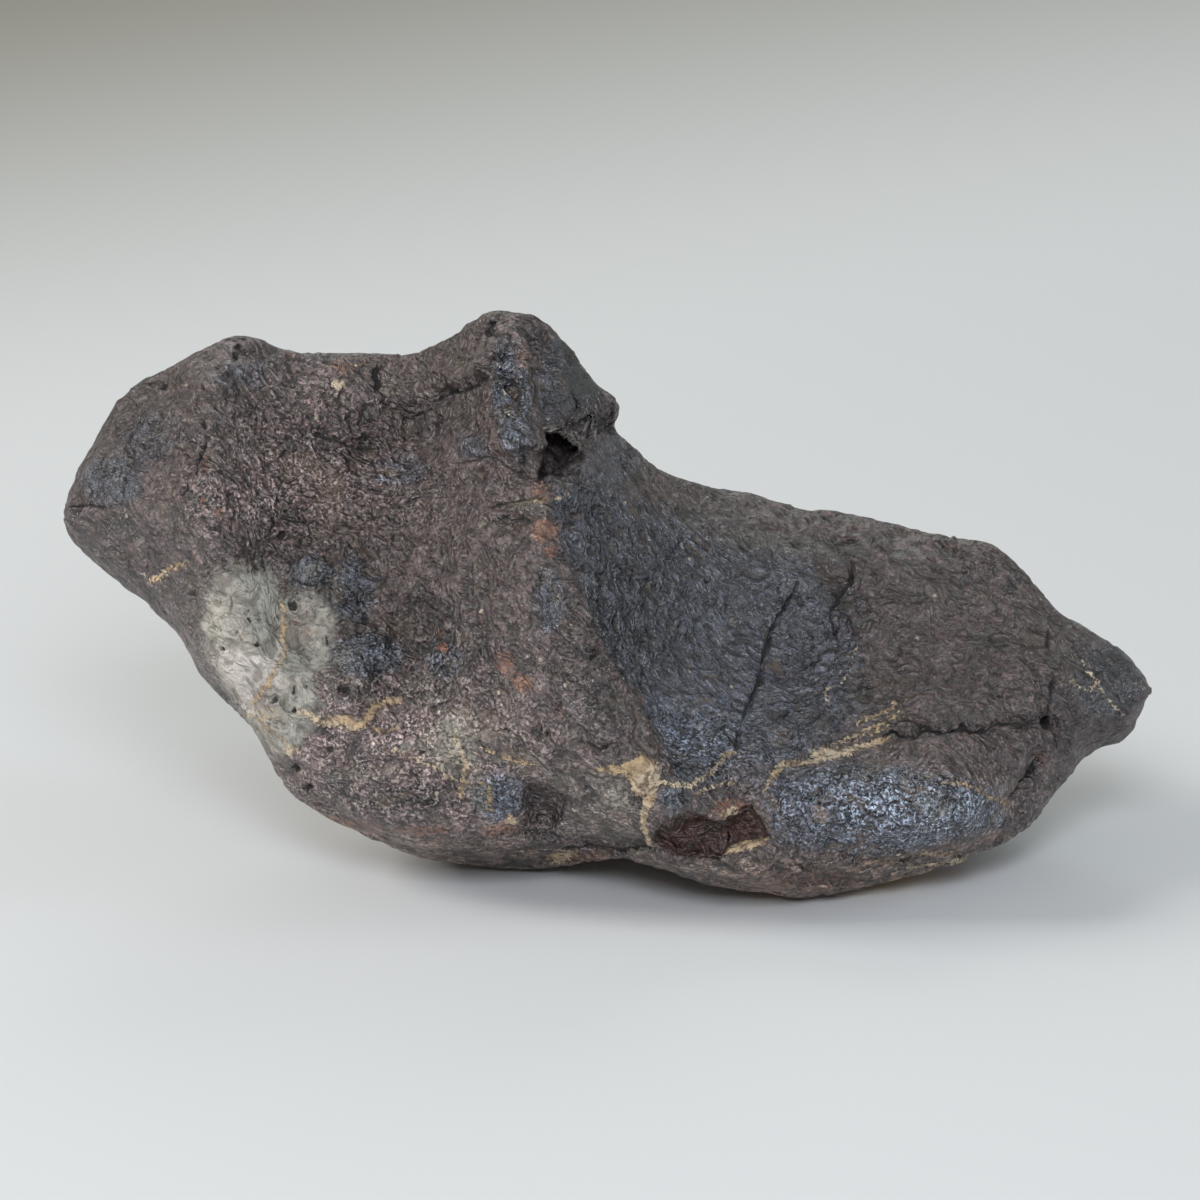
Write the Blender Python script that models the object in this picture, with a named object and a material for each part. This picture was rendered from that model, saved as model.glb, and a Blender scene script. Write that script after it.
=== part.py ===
"""A chondrite meteorite: one weathered stone, about twice as long as it is high.

Run it with: blender --background --python part.py

The stone is lofted from ribs, upright cross-sections that stand side by side from its left tip to its
right tip. The outlines and the front of each rib are measured face on, the way the stone is looked at:
across, up as it appears from a little above, and depth away from the viewer. The ledges, hollows, cracks
and pits that give the stone its look are then worked into the lofted skin. Last, what lies below the table
is ground flat, which leaves the two small flats that the stone rests on.

The stone's own frame has +X to the right, +Y away from the viewer and +Z up. Its origin is on the table,
under the middle of the stone. All numbers are millimetres unless their name says otherwise.
"""

import math

import bmesh
import bpy
import numpy as np
from mathutils import Vector, noise

METRES_PER_MM = 0.001

# The view that the stone is measured from looks down at it by this much.
LOOK_DOWN = math.radians(17.0)
# A point on the table this far in front of the middle of the stone has an apparent height of zero.
FOOT_EDGE = 10.0
# The back is measured from the other side in the same way, from a little higher up.
BACK_LOOK_DOWN = math.radians(20.0)
BACK_EDGE = 20.0

# Rings of the loft along the stone, and points of one ring down its front and up its back.
RINGS = 54
FRONT_STEPS = 28
BACK_STEPS = 20
# How far the first and the last ring stand in from the tips, and how much the rings bunch towards them:
# 0 for even spacing, 1 for the most.
TIP_GAP = 0.15
BUNCHING = 0.45

# The top outline from the left tip to the right tip: across and apparent height.
CREST_LINE = (
    (-41.4, 29.4), (-41.0, 32.0), (-38.5, 36.2), (-36.6, 39.6), (-33.6, 40.8), (-31.1, 42.4),
    (-28.3, 43.8), (-26.0, 43.5), (-23.7, 42.3), (-19.6, 42.6), (-16.0, 42.3), (-13.7, 42.3),
    (-10.8, 44.0), (-8.6, 45.4), (-6.9, 45.7), (-5.0, 45.1), (-2.9, 43.5), (-1.5, 41.3),
    (0.3, 38.4), (1.0, 36.5), (2.8, 34.7), (5.0, 33.4), (8.4, 32.0), (10.4, 31.9),
    (13.7, 30.9), (18.0, 30.2), (21.6, 29.3), (25.4, 28.5), (29.3, 27.7), (31.7, 26.7),
    (34.1, 23.8), (36.0, 21.6), (37.2, 21.2), (39.7, 19.4), (41.8, 17.8), (42.6, 16.1),
)

# The bottom outline from the left tip to the right tip: across and apparent height.
KEEL_LINE = (
    (-41.4, 29.4), (-41.0, 27.4), (-38.5, 25.3), (-35.0, 22.6), (-32.2, 20.0), (-31.4, 17.8),
    (-29.0, 15.0), (-25.8, 12.0), (-24.6, 8.4), (-22.3, 6.5), (-18.5, 5.0), (-13.9, 3.0),
    (-9.5, 2.4), (-5.4, 2.0), (-1.0, 2.6), (1.8, 3.0), (4.6, 2.4), (8.1, 1.2),
    (12.3, 0.5), (15.4, 0.0), (18.5, 0.5), (23.1, 1.5), (28.5, 3.2), (32.7, 5.2),
    (34.3, 6.6), (36.2, 9.2), (37.9, 11.2), (41.0, 11.7), (41.7, 14.0), (42.6, 16.1),
)

# The outlines' small steps are felt this far down the front and the back of the stone, and are evened over
# this many places with weights that reach a little further. Where the stone is lower than the first of
# these heights its outline keeps every step, and past the second the steps are evened in full.
OUTLINE_REACH = 2.5
OUTLINE_SAMPLES = 21
WEIGHT_REACH = 2.75
SLIM = 2.0
FULL = 9.0

# The ribs' depths are evened out over this much of the stone's length on either side, at this many places.
RIB_BLEND = 2.4
RIB_BLEND_SAMPLES = 7
# A rib's curve is measured at this many places before its points are spaced evenly along it.
CURVE_SAMPLES = 400

# Where a rib's front points lie between its keel, 0, and its crest, 1, as they appear face on.
FRONT_SHARES = (0.88, 0.72, 0.55, 0.38, 0.22, 0.08)
# Where a rib's back points lie between the sole, 0, and the crest, 1, by their true height.
BACK_SHARES = (0.08, 0.28, 0.55, 0.82)

# Each rib: across, the crest's depth, the front points' depths from the top down, the keel's depth, the
# sole's height above the table, and the back points' depths from the bottom up.
RIBS = (
    (-40.8, 5.0, (3.0, 1.8, 1.0, 1.0, 1.5, 2.5), 4.0, 26.0, (6.5, 8.5, 9.0, 7.5)),
    (-37.7, 6.0, (3.5, 1.0, -1.0, -1.5, -1.5, 0.0), 2.0, 22.0, (8.5, 12.0, 13.0, 11.0)),
    (-33.9, 6.0, (3.0, 0.0, -2.5, -4.0, -4.0, -3.0), -1.0, 19.0, (9.0, 14.0, 15.5, 12.0)),
    (-30.4, 6.0, (1.0, -3.5, -6.5, -8.5, -8.5, -6.0), -4.0, 15.0, (9.0, 16.0, 18.0, 13.5)),
    (-26.2, 8.0, (3.5, 0.5, -4.0, -8.0, -10.0, -8.5), -5.0, 11.0, (9.0, 18.0, 20.5, 16.0)),
    (-20.8, 9.0, (4.0, 0.0, -4.5, -8.5, -11.5, -11.0), -7.0, 5.5, (11.0, 20.0, 23.0, 18.0)),
    (-15.4, 9.0, (5.0, 0.5, -4.5, -9.0, -12.5, -12.0), -6.0, 2.0, (13.0, 22.0, 24.5, 18.5)),
    (-10.8, 5.0, (2.0, -3.0, -8.0, -12.0, -14.0, -12.0), -5.0, -0.6, (14.0, 23.0, 25.0, 16.5)),
    (-6.9, 1.0, (-3.5, -8.0, -11.5, -14.5, -15.5, -12.5), -4.0, -1.0, (15.0, 23.5, 25.0, 15.0)),
    (-3.5, 1.0, (-4.0, -9.0, -12.8, -15.8, -16.5, -11.5), -4.0, -0.6, (15.0, 24.0, 25.0, 15.0)),
    (0.0, 4.0, (-0.5, -7.0, -12.0, -16.5, -17.5, -14.5), -9.0, 2.4, (15.0, 24.0, 25.0, 16.0)),
    (4.6, 9.0, (3.0, -2.5, -7.5, -13.0, -17.5, -16.5), -12.0, 2.2, (15.0, 24.0, 25.5, 20.0)),
    (10.8, 12.0, (6.0, 1.0, -4.0, -9.5, -14.5, -16.0), -12.0, -0.6, (15.0, 24.0, 25.0, 21.0)),
    (16.9, 12.0, (7.0, 2.0, -3.5, -10.0, -15.5, -15.0), -11.0, -1.2, (15.0, 23.0, 24.0, 20.5)),
    (23.1, 11.0, (6.0, 1.0, -4.0, -10.0, -14.5, -13.0), -9.0, -0.4, (14.0, 21.0, 22.0, 18.5)),
    (28.5, 9.0, (5.0, 1.0, -3.5, -8.0, -10.5, -10.0), -8.0, 1.8, (12.0, 18.0, 18.5, 15.0)),
    (33.1, 6.0, (3.0, 0.0, -3.0, -4.5, -5.0, -4.5), -3.0, 4.5, (9.0, 13.0, 13.5, 11.0)),
    (37.3, 4.0, (1.8, -0.4, -2.0, -2.5, -1.5, 0.5), 2.0, 8.5, (7.5, 11.0, 11.0, 9.0)),
    (40.8, 3.0, (1.2, 0.2, -0.5, -0.6, 0.2, 1.2), 3.0, 11.5, (6.0, 7.5, 7.5, 6.0)),
)


# How far the skin faces a side where the side's features start on it, and where they have their full depth.
# The divided zones also take in skin that is turned a little away.
EDGE_ON = -0.05
WELL_SEEN = 0.35
TURNED_AWAY = -0.2


class Side:
    """One side of the stone as it is looked at: places on it are measured across and up, face on."""

    def __init__(self, toward, up, base):
        self.toward = np.array(toward)
        self.up = np.array(up)
        self.base = np.array(base)

    def places(self, points):
        """Where points in the stone's frame lie on this side, across and up."""
        return np.stack([points[:, 0], (points - self.base) @ self.up], axis=1)

    def faced(self, normals):
        """How much of the skin with these normals this side shows: 0 from behind, 1 face on."""
        return smooth_step(EDGE_ON, WELL_SEEN, normals @ self.toward)


def tilted_side(away, look_down, base):
    """A side seen from the front, with away 1, or from the back, with away -1, looking down."""
    toward = (0.0, -away * math.cos(look_down), math.sin(look_down))
    up = (0.0, away * math.sin(look_down), math.cos(look_down))
    return Side(toward, up, base)


FRONT = tilted_side(1.0, LOOK_DOWN, (0.0, -FOOT_EDGE, 0.0))
BACK = tilted_side(-1.0, BACK_LOOK_DOWN, (0.0, BACK_EDGE, 0.0))
UNDERSIDE = Side((0.0, 0.0, -1.0), (0.0, 1.0, 0.0), (0.0, 0.0, 0.0))

# Flat faces broken and worn on the back: the way each one looks out, and how far it is cut into the stone.
FACES = (
    ((-0.45, 0.85, 0.30), 3.0),
    ((0.35, 0.90, 0.35), 3.0),
    ((0.55, 0.80, 0.05), 2.4),
    ((-0.15, 0.95, -0.30), 2.4),
    ((-0.40, 0.80, -0.45), 1.8),
    ((0.30, 0.80, -0.50), 1.8),
)
# The faces meet in edges rounded by about this much, and keep this share of the roughness they cut off.
FACE_ROUND = 0.7
FACE_ROUGHNESS = 0.08

# The width of every ledge's wall, and the share of it that lies to the left of the line.
LEDGE_WALL = 1.5
LEDGE_WALL_LEFT = 0.7
# Ledges and cracks fade out over this share of their length at each end.
END_FADE = 0.18

# Ledges. Each is a line on a side; the skin drops on the left of someone walking along it, by this much,
# and rises back to where it was over this reach.
LEDGES = (
    # The main ridge, where the brown left half stands proud of the scoop on its right.
    (FRONT, ((-4.2, 31.0), (-3.1, 27.6), (-1.9, 23.0), (0.5, 20.9), (1.5, 17.6), (3.4, 15.4)), 1.1, 8.0),
    (FRONT, ((1.2, 18.6), (3.4, 15.6), (4.0, 14.2), (5.2, 11.9), (5.4, 9.4)), 1.5, 6.0),
    # The edge of the rib beside the smooth dark face that falls away to the right of the peak.
    (FRONT, ((-6.3, 45.0), (-5.5, 42.5), (-5.2, 38.8), (-4.2, 35.9), (-4.4, 32.6)), 1.6, 6.0),
    # The left end's face, turned away from the big brown face.
    (FRONT, ((-28.2, 24.4), (-32.3, 30.7), (-30.8, 35.3), (-29.6, 40.4)), 1.2, 7.0),
    # The step above the pale patch, and the one along the rusty lower edge.
    (FRONT, ((-11.0, 20.5), (-15.0, 22.4), (-20.5, 23.4), (-24.5, 25.6)), 0.7, 6.0),
    (FRONT, ((-4.5, 4.6), (-11.0, 5.4), (-17.5, 6.2), (-22.0, 8.4)), 0.9, 5.0),
    # The overhanging lip of the spall at the foot, and the lip at the bottom of the right tip.
    (FRONT, ((4.2, 4.4), (6.0, 6.6), (8.3, 7.2), (9.9, 6.4), (11.8, 7.9)), 0.6, 3.0),
    (FRONT, ((41.5, 12.6), (39.0, 11.9), (36.6, 12.2)), 0.7, 3.0),
    # Worn steps on the back.
    (BACK, ((-30.0, 33.0), (-20.0, 27.0), (-9.0, 28.0), (2.0, 22.0), (12.0, 23.0)), 1.3, 9.0),
    (BACK, ((18.0, 12.0), (24.0, 19.0), (33.0, 22.0)), 1.0, 7.0),
)

# Cracks, and ridges where the depth is negative: a line on a side, its width and its depth.
CRACKS = (
    # The fissure that the pale vein runs into, and the one at the foot of the bluish bulge.
    (FRONT, ((20.4, 12.6), (24.2, 12.5), (26.6, 13.3), (29.8, 13.1), (34.3, 13.8)), 1.3, 0.8),
    (FRONT, ((34.2, 11.2), (32.3, 8.9), (31.4, 6.9), (31.2, 4.6)), 1.3, 0.9),
    # The two cracks that run down the scoop.
    (FRONT, ((15.2, 24.6), (14.0, 22.2), (12.9, 19.8), (12.3, 16.8), (11.0, 13.7), (10.5, 11.3)), 1.1, 0.5),
    (FRONT, ((19.4, 26.4), (19.3, 24.6), (17.5, 21.9), (18.2, 19.6)), 1.1, 0.5),
    # The crack along the left end's face.
    (FRONT, ((-30.0, 37.0), (-31.0, 33.4), (-32.2, 30.9)), 1.3, 0.9),
    # The main ridge's own broad back, and the ridge that runs down from the left plateau's edge.
    (FRONT, ((-6.0, 31.5), (-3.6, 27.6), (-2.4, 23.0), (0.0, 20.6), (1.4, 17.0), (4.2, 12.0)), 8.0, -1.3),
    (FRONT, ((-29.0, 42.5), (-30.4, 36.0), (-31.4, 31.0), (-27.5, 25.0)), 7.0, -0.9),
    # The rugged rib at the peak: two folds with a crease between them.
    (FRONT, ((-8.3, 45.4), (-7.9, 41.5), (-6.9, 37.4), (-5.6, 33.2)), 3.0, -1.2),
    (FRONT, ((-12.4, 40.6), (-9.4, 38.9), (-8.4, 35.2), (-8.8, 32.4)), 2.2, -0.7),
    (FRONT, ((-6.9, 41.0), (-6.3, 38.2), (-6.6, 35.4)), 1.2, 0.7),
    (BACK, ((-14.0, 33.0), (-12.5, 26.0), (-15.0, 19.0), (-13.0, 12.0)), 1.5, 0.8),
    (BACK, ((20.0, 24.0), (15.0, 18.0), (14.5, 11.0)), 1.4, 0.7),
)

# Hollows, and lumps where the depth is negative: the middle, the half width and half height, the turn in
# degrees, the depth, and how steep the wall is, from 1 for a soft bowl.
HOLLOWS = (
    # The dark hole under the peak, the slit that leads out of it, and the bowl below it.
    (FRONT, (-3.4, 33.9), (1.7, 1.5), 15.0, 3.4, 3.0),
    (FRONT, (-2.2, 34.8), (1.6, 0.6), 35.0, 1.6, 2.0),
    (FRONT, (-3.0, 31.6), (2.2, 1.2), 0.0, 0.9, 1.0),
    # The hollow of the big brown face, and the scoop right of the main ridge.
    (FRONT, (-14.0, 36.0), (7.0, 5.0), 20.0, 1.5, 1.0),
    (FRONT, (10.5, 18.5), (12.0, 8.0), -35.0, 1.6, 1.0),
    # The bluish bulge at the lower right, and the lump in the middle of the pale side.
    (FRONT, (25.0, 7.8), (8.0, 4.2), -8.0, -1.2, 1.0),
    (FRONT, (-18.3, 17.6), (4.2, 3.6), 0.0, -0.9, 1.0),
    (FRONT, (-10.8, 8.4), (4.5, 3.0), 20.0, -0.6, 1.0),
    # The dark notch in the lower edge, and the notch at the foot of the bulge.
    (FRONT, (-4.2, 6.6), (1.8, 2.1), 10.0, 1.6, 2.0),
    (FRONT, (31.4, 5.9), (1.3, 1.3), 0.0, 0.9, 1.0),
    # The pale side's hollows, the slot near the crest, and pits.
    (FRONT, (-24.0, 20.5), (3.2, 5.0), 15.0, 0.8, 1.0),
    (FRONT, (-17.2, 40.2), (0.9, 1.5), 0.0, 0.9, 1.5),
    (FRONT, (-24.9, 28.7), (1.2, 1.0), 0.0, 0.7, 1.5),
    (FRONT, (-23.4, 22.4), (1.1, 1.3), 0.0, 0.7, 1.5),
    (FRONT, (-39.0, 31.6), (1.2, 1.4), 0.0, 0.7, 1.5),
    (FRONT, (-28.0, 41.8), (1.1, 0.9), 0.0, 0.7, 1.5),
    (FRONT, (34.4, 13.8), (0.9, 1.1), 0.0, 1.2, 2.0),
    # The right tip's flat face sinks a little behind the ridge that crosses it.
    (FRONT, (38.4, 17.6), (3.6, 4.2), -30.0, 0.8, 1.0),
    # The broad thumbprint hollows of the back and the underside.
    (BACK, (-20.0, 17.0), (9.0, 6.5), 15.0, 2.8, 1.0),
    (BACK, (0.0, 31.0), (8.0, 5.5), -20.0, 2.2, 1.0),
    (BACK, (5.0, 11.0), (7.5, 5.0), 10.0, 2.2, 1.0),
    (BACK, (24.0, 16.0), (6.5, 5.0), -30.0, 2.0, 1.0),
    (BACK, (-12.0, 29.0), (4.5, 3.5), 40.0, 1.4, 1.0),
    (BACK, (15.0, 24.0), (4.0, 3.0), 0.0, 1.2, 1.0),
    (BACK, (-31.5, 28.0), (5.0, 5.0), 0.0, 1.2, 1.0),
    (BACK, (-6.0, 19.0), (4.5, 3.5), 30.0, -1.2, 1.0),
    (UNDERSIDE, (-20.0, 6.0), (6.0, 6.0), 0.0, 1.4, 1.0),
    (UNDERSIDE, (32.0, 4.0), (5.0, 4.0), 20.0, 1.2, 1.0),
)

# Patches where a flake has broken away: the outline on a side, the depth, and the width of the wall.
SPALLS = (
    (FRONT, ((3.9, 4.6), (5.8, 6.4), (8.1, 6.9), (9.9, 6.1), (11.7, 7.6), (12.7, 4.9), (9.4, 3.4),
             (6.2, 3.0)), 1.7, 2.0),
    (BACK, ((-2.0, 5.5), (1.5, 9.0), (7.0, 7.5), (8.5, 4.0), (3.0, 2.5)), 1.2, 1.5),
)

# The lip that hangs out to the right below the peak: where it is, how far around it reaches, and how far
# it is pulled out, in millimetres of the stone's frame.
LIP = (FRONT, (0.3, 37.9), 1.5, (1.3, 0.0, 0.0))
UNDERCUT = (FRONT, (1.4, 36.2), 1.0, (-0.6, 0.0, -0.1))

# The lumps that cover the whole stone: how far apart they are, and how high.
LUMPS = ((11.0, 0.7), (5.0, 0.45), (2.6, 0.22))
# How much of their height the lumps keep where they would shift the measured outlines, and how far the skin
# faces the viewer or away where the outlines start and where they end.
LUMPS_AT_OUTLINE = 0.3
OUTLINE_FACING = (0.1, 0.5)
# The lumps fade out over this height above the flats that the stone rests on.
LUMPS_START = 2.5

# Where the skin is divided finely: the side, the middle, the half width and half height, and the longest
# edge that is left there.
FINE_ZONES = (
    (FRONT, (-6.2, 37.5), (3.2, 7.0), 1.1),
    (FRONT, (-3.2, 33.6), (2.4, 2.2), 0.8),
    (FRONT, (0.8, 37.4), (1.6, 2.2), 0.8),
    (FRONT, (8.2, 5.4), (5.0, 2.8), 1.0),
    (FRONT, (27.5, 13.1), (7.4, 0.9), 1.0),
)


def smooth_step(start, end, value):
    """0 before start, 1 past end, and a smooth rise between them."""
    t = np.clip((value - start) / (end - start), 0.0, 1.0)
    return t * t * (3.0 - 2.0 * t)


def true_height(up, depth):
    """The height above the table of what appears this high up, face on, at this depth."""
    return (up - (depth + FOOT_EDGE) * math.sin(LOOK_DOWN)) / math.cos(LOOK_DOWN)


def smooth_through(knots, values, at):
    """A smooth curve through values at the knots, read at the places in at."""
    knots = np.asarray(knots, float)
    values = np.asarray(values, float).reshape(len(knots), -1)
    slopes = np.gradient(values, knots, axis=0)
    at = np.clip(at, knots[0], knots[-1])
    i = np.clip(np.searchsorted(knots, at) - 1, 0, len(knots) - 2)
    span = (knots[i + 1] - knots[i])[:, None]
    t = (at - knots[i])[:, None] / span
    rise = t * t * (3.0 - 2.0 * t)
    start_pull = t * (1.0 - t) ** 2 * span
    end_pull = t * t * (t - 1.0) * span
    return values[i] * (1.0 - rise) + values[i + 1] * rise + slopes[i] * start_pull + slopes[i + 1] * end_pull


def outline_height(line, across):
    """The apparent height of an outline at a place across the stone, and its height with steps evened."""
    along, up = np.array(line).T
    sharp = np.interp(across, along, up)
    window = np.linspace(-OUTLINE_REACH, OUTLINE_REACH, OUTLINE_SAMPLES)
    weights = 1.0 - (window / WEIGHT_REACH) ** 2
    nearby = np.clip(across + window, along[0] + TIP_GAP, along[-1] - TIP_GAP)
    even = np.sum(weights * np.interp(nearby, along, up)) / np.sum(weights)
    return sharp, even


def even_points(points, count):
    """This many points, evenly spaced along a smooth curve through points; the last one is left out."""
    points = np.asarray(points, float)
    travelled = np.concatenate([[0.0], np.cumsum(np.linalg.norm(np.diff(points, axis=0), axis=1))])
    fine = smooth_through(travelled, points, np.linspace(0.0, travelled[-1], CURVE_SAMPLES))
    length = np.concatenate([[0.0], np.cumsum(np.linalg.norm(np.diff(fine, axis=0), axis=1))])
    wanted = np.linspace(0.0, length[-1], count, endpoint=False)
    return np.stack([np.interp(wanted, length, fine[:, k]) for k in range(fine.shape[1])], axis=1)


def ring_at(across, rib):
    """One closed ring of (depth, height) points: down the front from the crest, and up the back."""
    crest_depth, front, keel_depth, sole_height, back = rib[0], rib[1:7], rib[7], rib[8], rib[9:]
    crest_up, even_crest_up = outline_height(CREST_LINE, across)
    keel_up, even_keel_up = outline_height(KEEL_LINE, across)
    # Near the tips the evened outlines cross the true ones, so the true ones take over there.
    room = smooth_step(SLIM, FULL, crest_up - keel_up)
    even_crest_up = crest_up + room * (even_crest_up - crest_up)
    even_keel_up = keel_up + room * (even_keel_up - keel_up)
    crest = (crest_depth, true_height(crest_up, crest_depth))
    keel = (keel_depth, true_height(keel_up, keel_depth))
    down_front = [crest]
    for share, depth in zip(FRONT_SHARES, front):
        down_front.append((depth, true_height(even_keel_up + share * (even_crest_up - even_keel_up), depth)))
    down_front.append(keel)
    even_crest_height = true_height(even_crest_up, crest_depth)
    sole_height = min(sole_height, 0.5 * (crest[1] + keel[1]))
    sole = (0.5 * (keel_depth + back[0]), sole_height)
    up_back = [keel, sole]
    for share, depth in zip(BACK_SHARES, back):
        up_back.append((depth, sole_height + share * (even_crest_height - sole_height)))
    up_back.append(crest)
    return np.concatenate([even_points(down_front, FRONT_STEPS), even_points(up_back, BACK_STEPS)])


def ring_places():
    """Where the loft's rings stand across the stone: closer together towards its blunt tips."""
    left = CREST_LINE[0][0] + TIP_GAP
    right = CREST_LINE[-1][0] - TIP_GAP
    even = np.linspace(0.0, 1.0, RINGS)
    bunched = 0.5 - 0.5 * np.cos(math.pi * even)
    return left + (BUNCHING * bunched + (1.0 - BUNCHING) * even) * (right - left)


def lofted_skin():
    """The stone's skin before it is worked: points in millimetres, and the faces that join them."""
    places = ring_places()
    rows = [(rib[1], *rib[2], rib[3], rib[4], *rib[5]) for rib in RIBS]
    knots = [rib[0] for rib in RIBS]
    offsets = RIB_BLEND * np.linspace(-1.0, 1.0, RIB_BLEND_SAMPLES)
    ribs = np.mean([smooth_through(knots, rows, places + offset) for offset in offsets], axis=0)
    points = []
    for across, rib in zip(places, ribs):
        points += [(across, depth, height) for depth, height in ring_at(across, rib)]
    around = FRONT_STEPS + BACK_STEPS
    faces = []
    for ring in range(RINGS - 1):
        for step in range(around):
            a = ring * around + step
            b = ring * around + (step + 1) % around
            faces.append((a, b, b + around, a + around))
    for end, ring in ((0, 0), (-1, RINGS - 1)):
        across, up = CREST_LINE[end]
        depth = RIBS[end][1]
        points.append((across, depth, true_height(up, depth)))
        for step in range(around):
            a = ring * around + step
            b = ring * around + (step + 1) % around
            faces.append((a, b, len(points) - 1))
    return points, faces


def divide_zone(work, side, middle, half_size, longest):
    """Divides the skin inside an oval on one side until no edge there is longer than longest."""
    for _ in range(2):
        points, normals = skin_arrays(work)
        offset = (side.places(points) - middle) / half_size
        inside = (np.linalg.norm(offset, axis=1) < 1.0) & (normals @ side.toward > TURNED_AWAY)
        work.verts.index_update()
        edges = []
        for edge in work.edges:
            a, b = edge.verts
            if (inside[a.index] or inside[b.index]) and edge.calc_length() > longest:
                edges.append(edge)
        if not edges:
            return
        bmesh.ops.subdivide_edges(work, edges=edges, cuts=1)
        bmesh.ops.triangulate(work, faces=[face for face in work.faces if len(face.verts) > 3])


def along_line(line, places):
    """For each place: how far it is from the line, and how far on its left, and its share of the way."""
    line = np.array(line)
    starts = line[:-1]
    steps = line[1:] - line[:-1]
    lengths = np.linalg.norm(steps, axis=1)
    before = np.concatenate([[0.0], np.cumsum(lengths)[:-1]])
    nearest = np.full(len(places), np.inf)
    left = np.zeros(len(places))
    share = np.zeros(len(places))
    for start, step, length, travelled in zip(starts, steps, lengths, before):
        offset = places - start
        t = np.clip(offset @ step / length ** 2, 0.0, 1.0)
        gap = np.linalg.norm(offset - t[:, None] * step, axis=1)
        side = np.sign(step[0] * offset[:, 1] - step[1] * offset[:, 0])
        closer = gap < nearest
        nearest[closer] = gap[closer]
        left[closer] = (side * gap)[closer]
        share[closer] = ((travelled + t * length) / lengths.sum())[closer]
    return nearest, left, share


def end_fade(share):
    """1 along most of a line, down to 0 at its two ends."""
    return smooth_step(0.0, END_FADE, share) * smooth_step(0.0, END_FADE, 1.0 - share)


def ledge_depth(places, line, drop, reach):
    _, left, share = along_line(line, places)
    fallen = smooth_step((LEDGE_WALL_LEFT - 1.0) * LEDGE_WALL, LEDGE_WALL_LEFT * LEDGE_WALL, left)
    back_up = np.clip(1.0 - left / reach, 0.0, 1.0) ** 2
    return drop * fallen * back_up * end_fade(share)


def crack_depth(places, line, width, depth):
    nearest, _, share = along_line(line, places)
    wall = np.clip(1.0 - (nearest / (0.5 * width)) ** 2, 0.0, 1.0)
    return depth * wall * end_fade(share)


def hollow_depth(places, middle, half_size, turn, depth, steepness):
    cos, sin = math.cos(math.radians(turn)), math.sin(math.radians(turn))
    offset = places - np.array(middle)
    turned = np.stack([offset[:, 0] * cos + offset[:, 1] * sin, offset[:, 1] * cos - offset[:, 0] * sin], 1)
    away = np.linalg.norm(turned / np.array(half_size), axis=1)
    return depth * np.clip(1.0 - away ** (2.0 * steepness), 0.0, 1.0) ** 2


def spall_depth(places, outline, depth, wall):
    nearest, _, _ = along_line(tuple(outline) + (outline[0],), places)
    inside = np.zeros(len(places), bool)
    for (ax, ay), (bx, by) in zip(outline, tuple(outline[1:]) + (outline[0],)):
        spans = (ay > places[:, 1]) != (by > places[:, 1])
        crossing = ax + (places[:, 1] - ay) / (by - ay + 1e-9) * (bx - ax)
        inside ^= spans & (places[:, 0] < crossing)
    return depth * inside * smooth_step(0.0, wall, nearest)


def cut_faces(points):
    """Presses what stands out past each flat face back onto it, with a rounded edge."""
    for direction, cut in FACES:
        direction = np.array(direction) / np.linalg.norm(direction)
        height = points @ direction
        excess = height - (height.max() - cut)
        pressed = FACE_ROUND * np.logaddexp(0.0, excess / FACE_ROUND)
        points = points - ((1.0 - FACE_ROUGHNESS) * pressed)[:, None] * direction
    return points


def work_side(points, normals, side):
    """Sinks one side's ledges, cracks, hollows and spalls into the skin, away from the viewer."""
    places = side.places(points)
    depth = np.zeros(len(points))
    for depth_of, features in (
        (ledge_depth, LEDGES), (crack_depth, CRACKS), (hollow_depth, HOLLOWS), (spall_depth, SPALLS),
    ):
        for feature in features:
            if feature[0] is side:
                depth += depth_of(places, *feature[1:])
    return points - (depth * side.faced(normals))[:, None] * side.toward


def pull(points, side, middle, radius, move):
    """Moves the skin around one place on a side, most in the middle and nothing past the radius."""
    away = np.linalg.norm(side.places(points) - middle, axis=1) / radius
    return points + (np.clip(1.0 - away ** 2, 0.0, 1.0) ** 2)[:, None] * np.array(move)


def lump_heights(points, normals):
    """How far the lumps stand out of the skin at each point."""
    heights = np.array([
        sum(tall * noise.noise(Vector(point) / apart) for apart, tall in LUMPS) for point in points
    ])
    off_outline = smooth_step(*OUTLINE_FACING, np.abs(normals @ FRONT.toward))
    kept = LUMPS_AT_OUTLINE + (1.0 - LUMPS_AT_OUTLINE) * off_outline
    return heights * kept * smooth_step(0.0, LUMPS_START, points[:, 2])


def stone_material():
    material = bpy.data.materials.new("weathered crust")
    material.use_nodes = True
    shader = material.node_tree.nodes["Principled BSDF"]
    shader.inputs["Base Color"].default_value = (0.075, 0.066, 0.064, 1.0)
    shader.inputs["Roughness"].default_value = 0.55
    shader.inputs["Metallic"].default_value = 0.0
    return material


def skin_arrays(work):
    """The skin's points and its outward normals, as arrays."""
    work.normal_update()
    points = np.array([vert.co for vert in work.verts])
    normals = np.array([vert.normal for vert in work.verts])
    return points, normals


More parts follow.
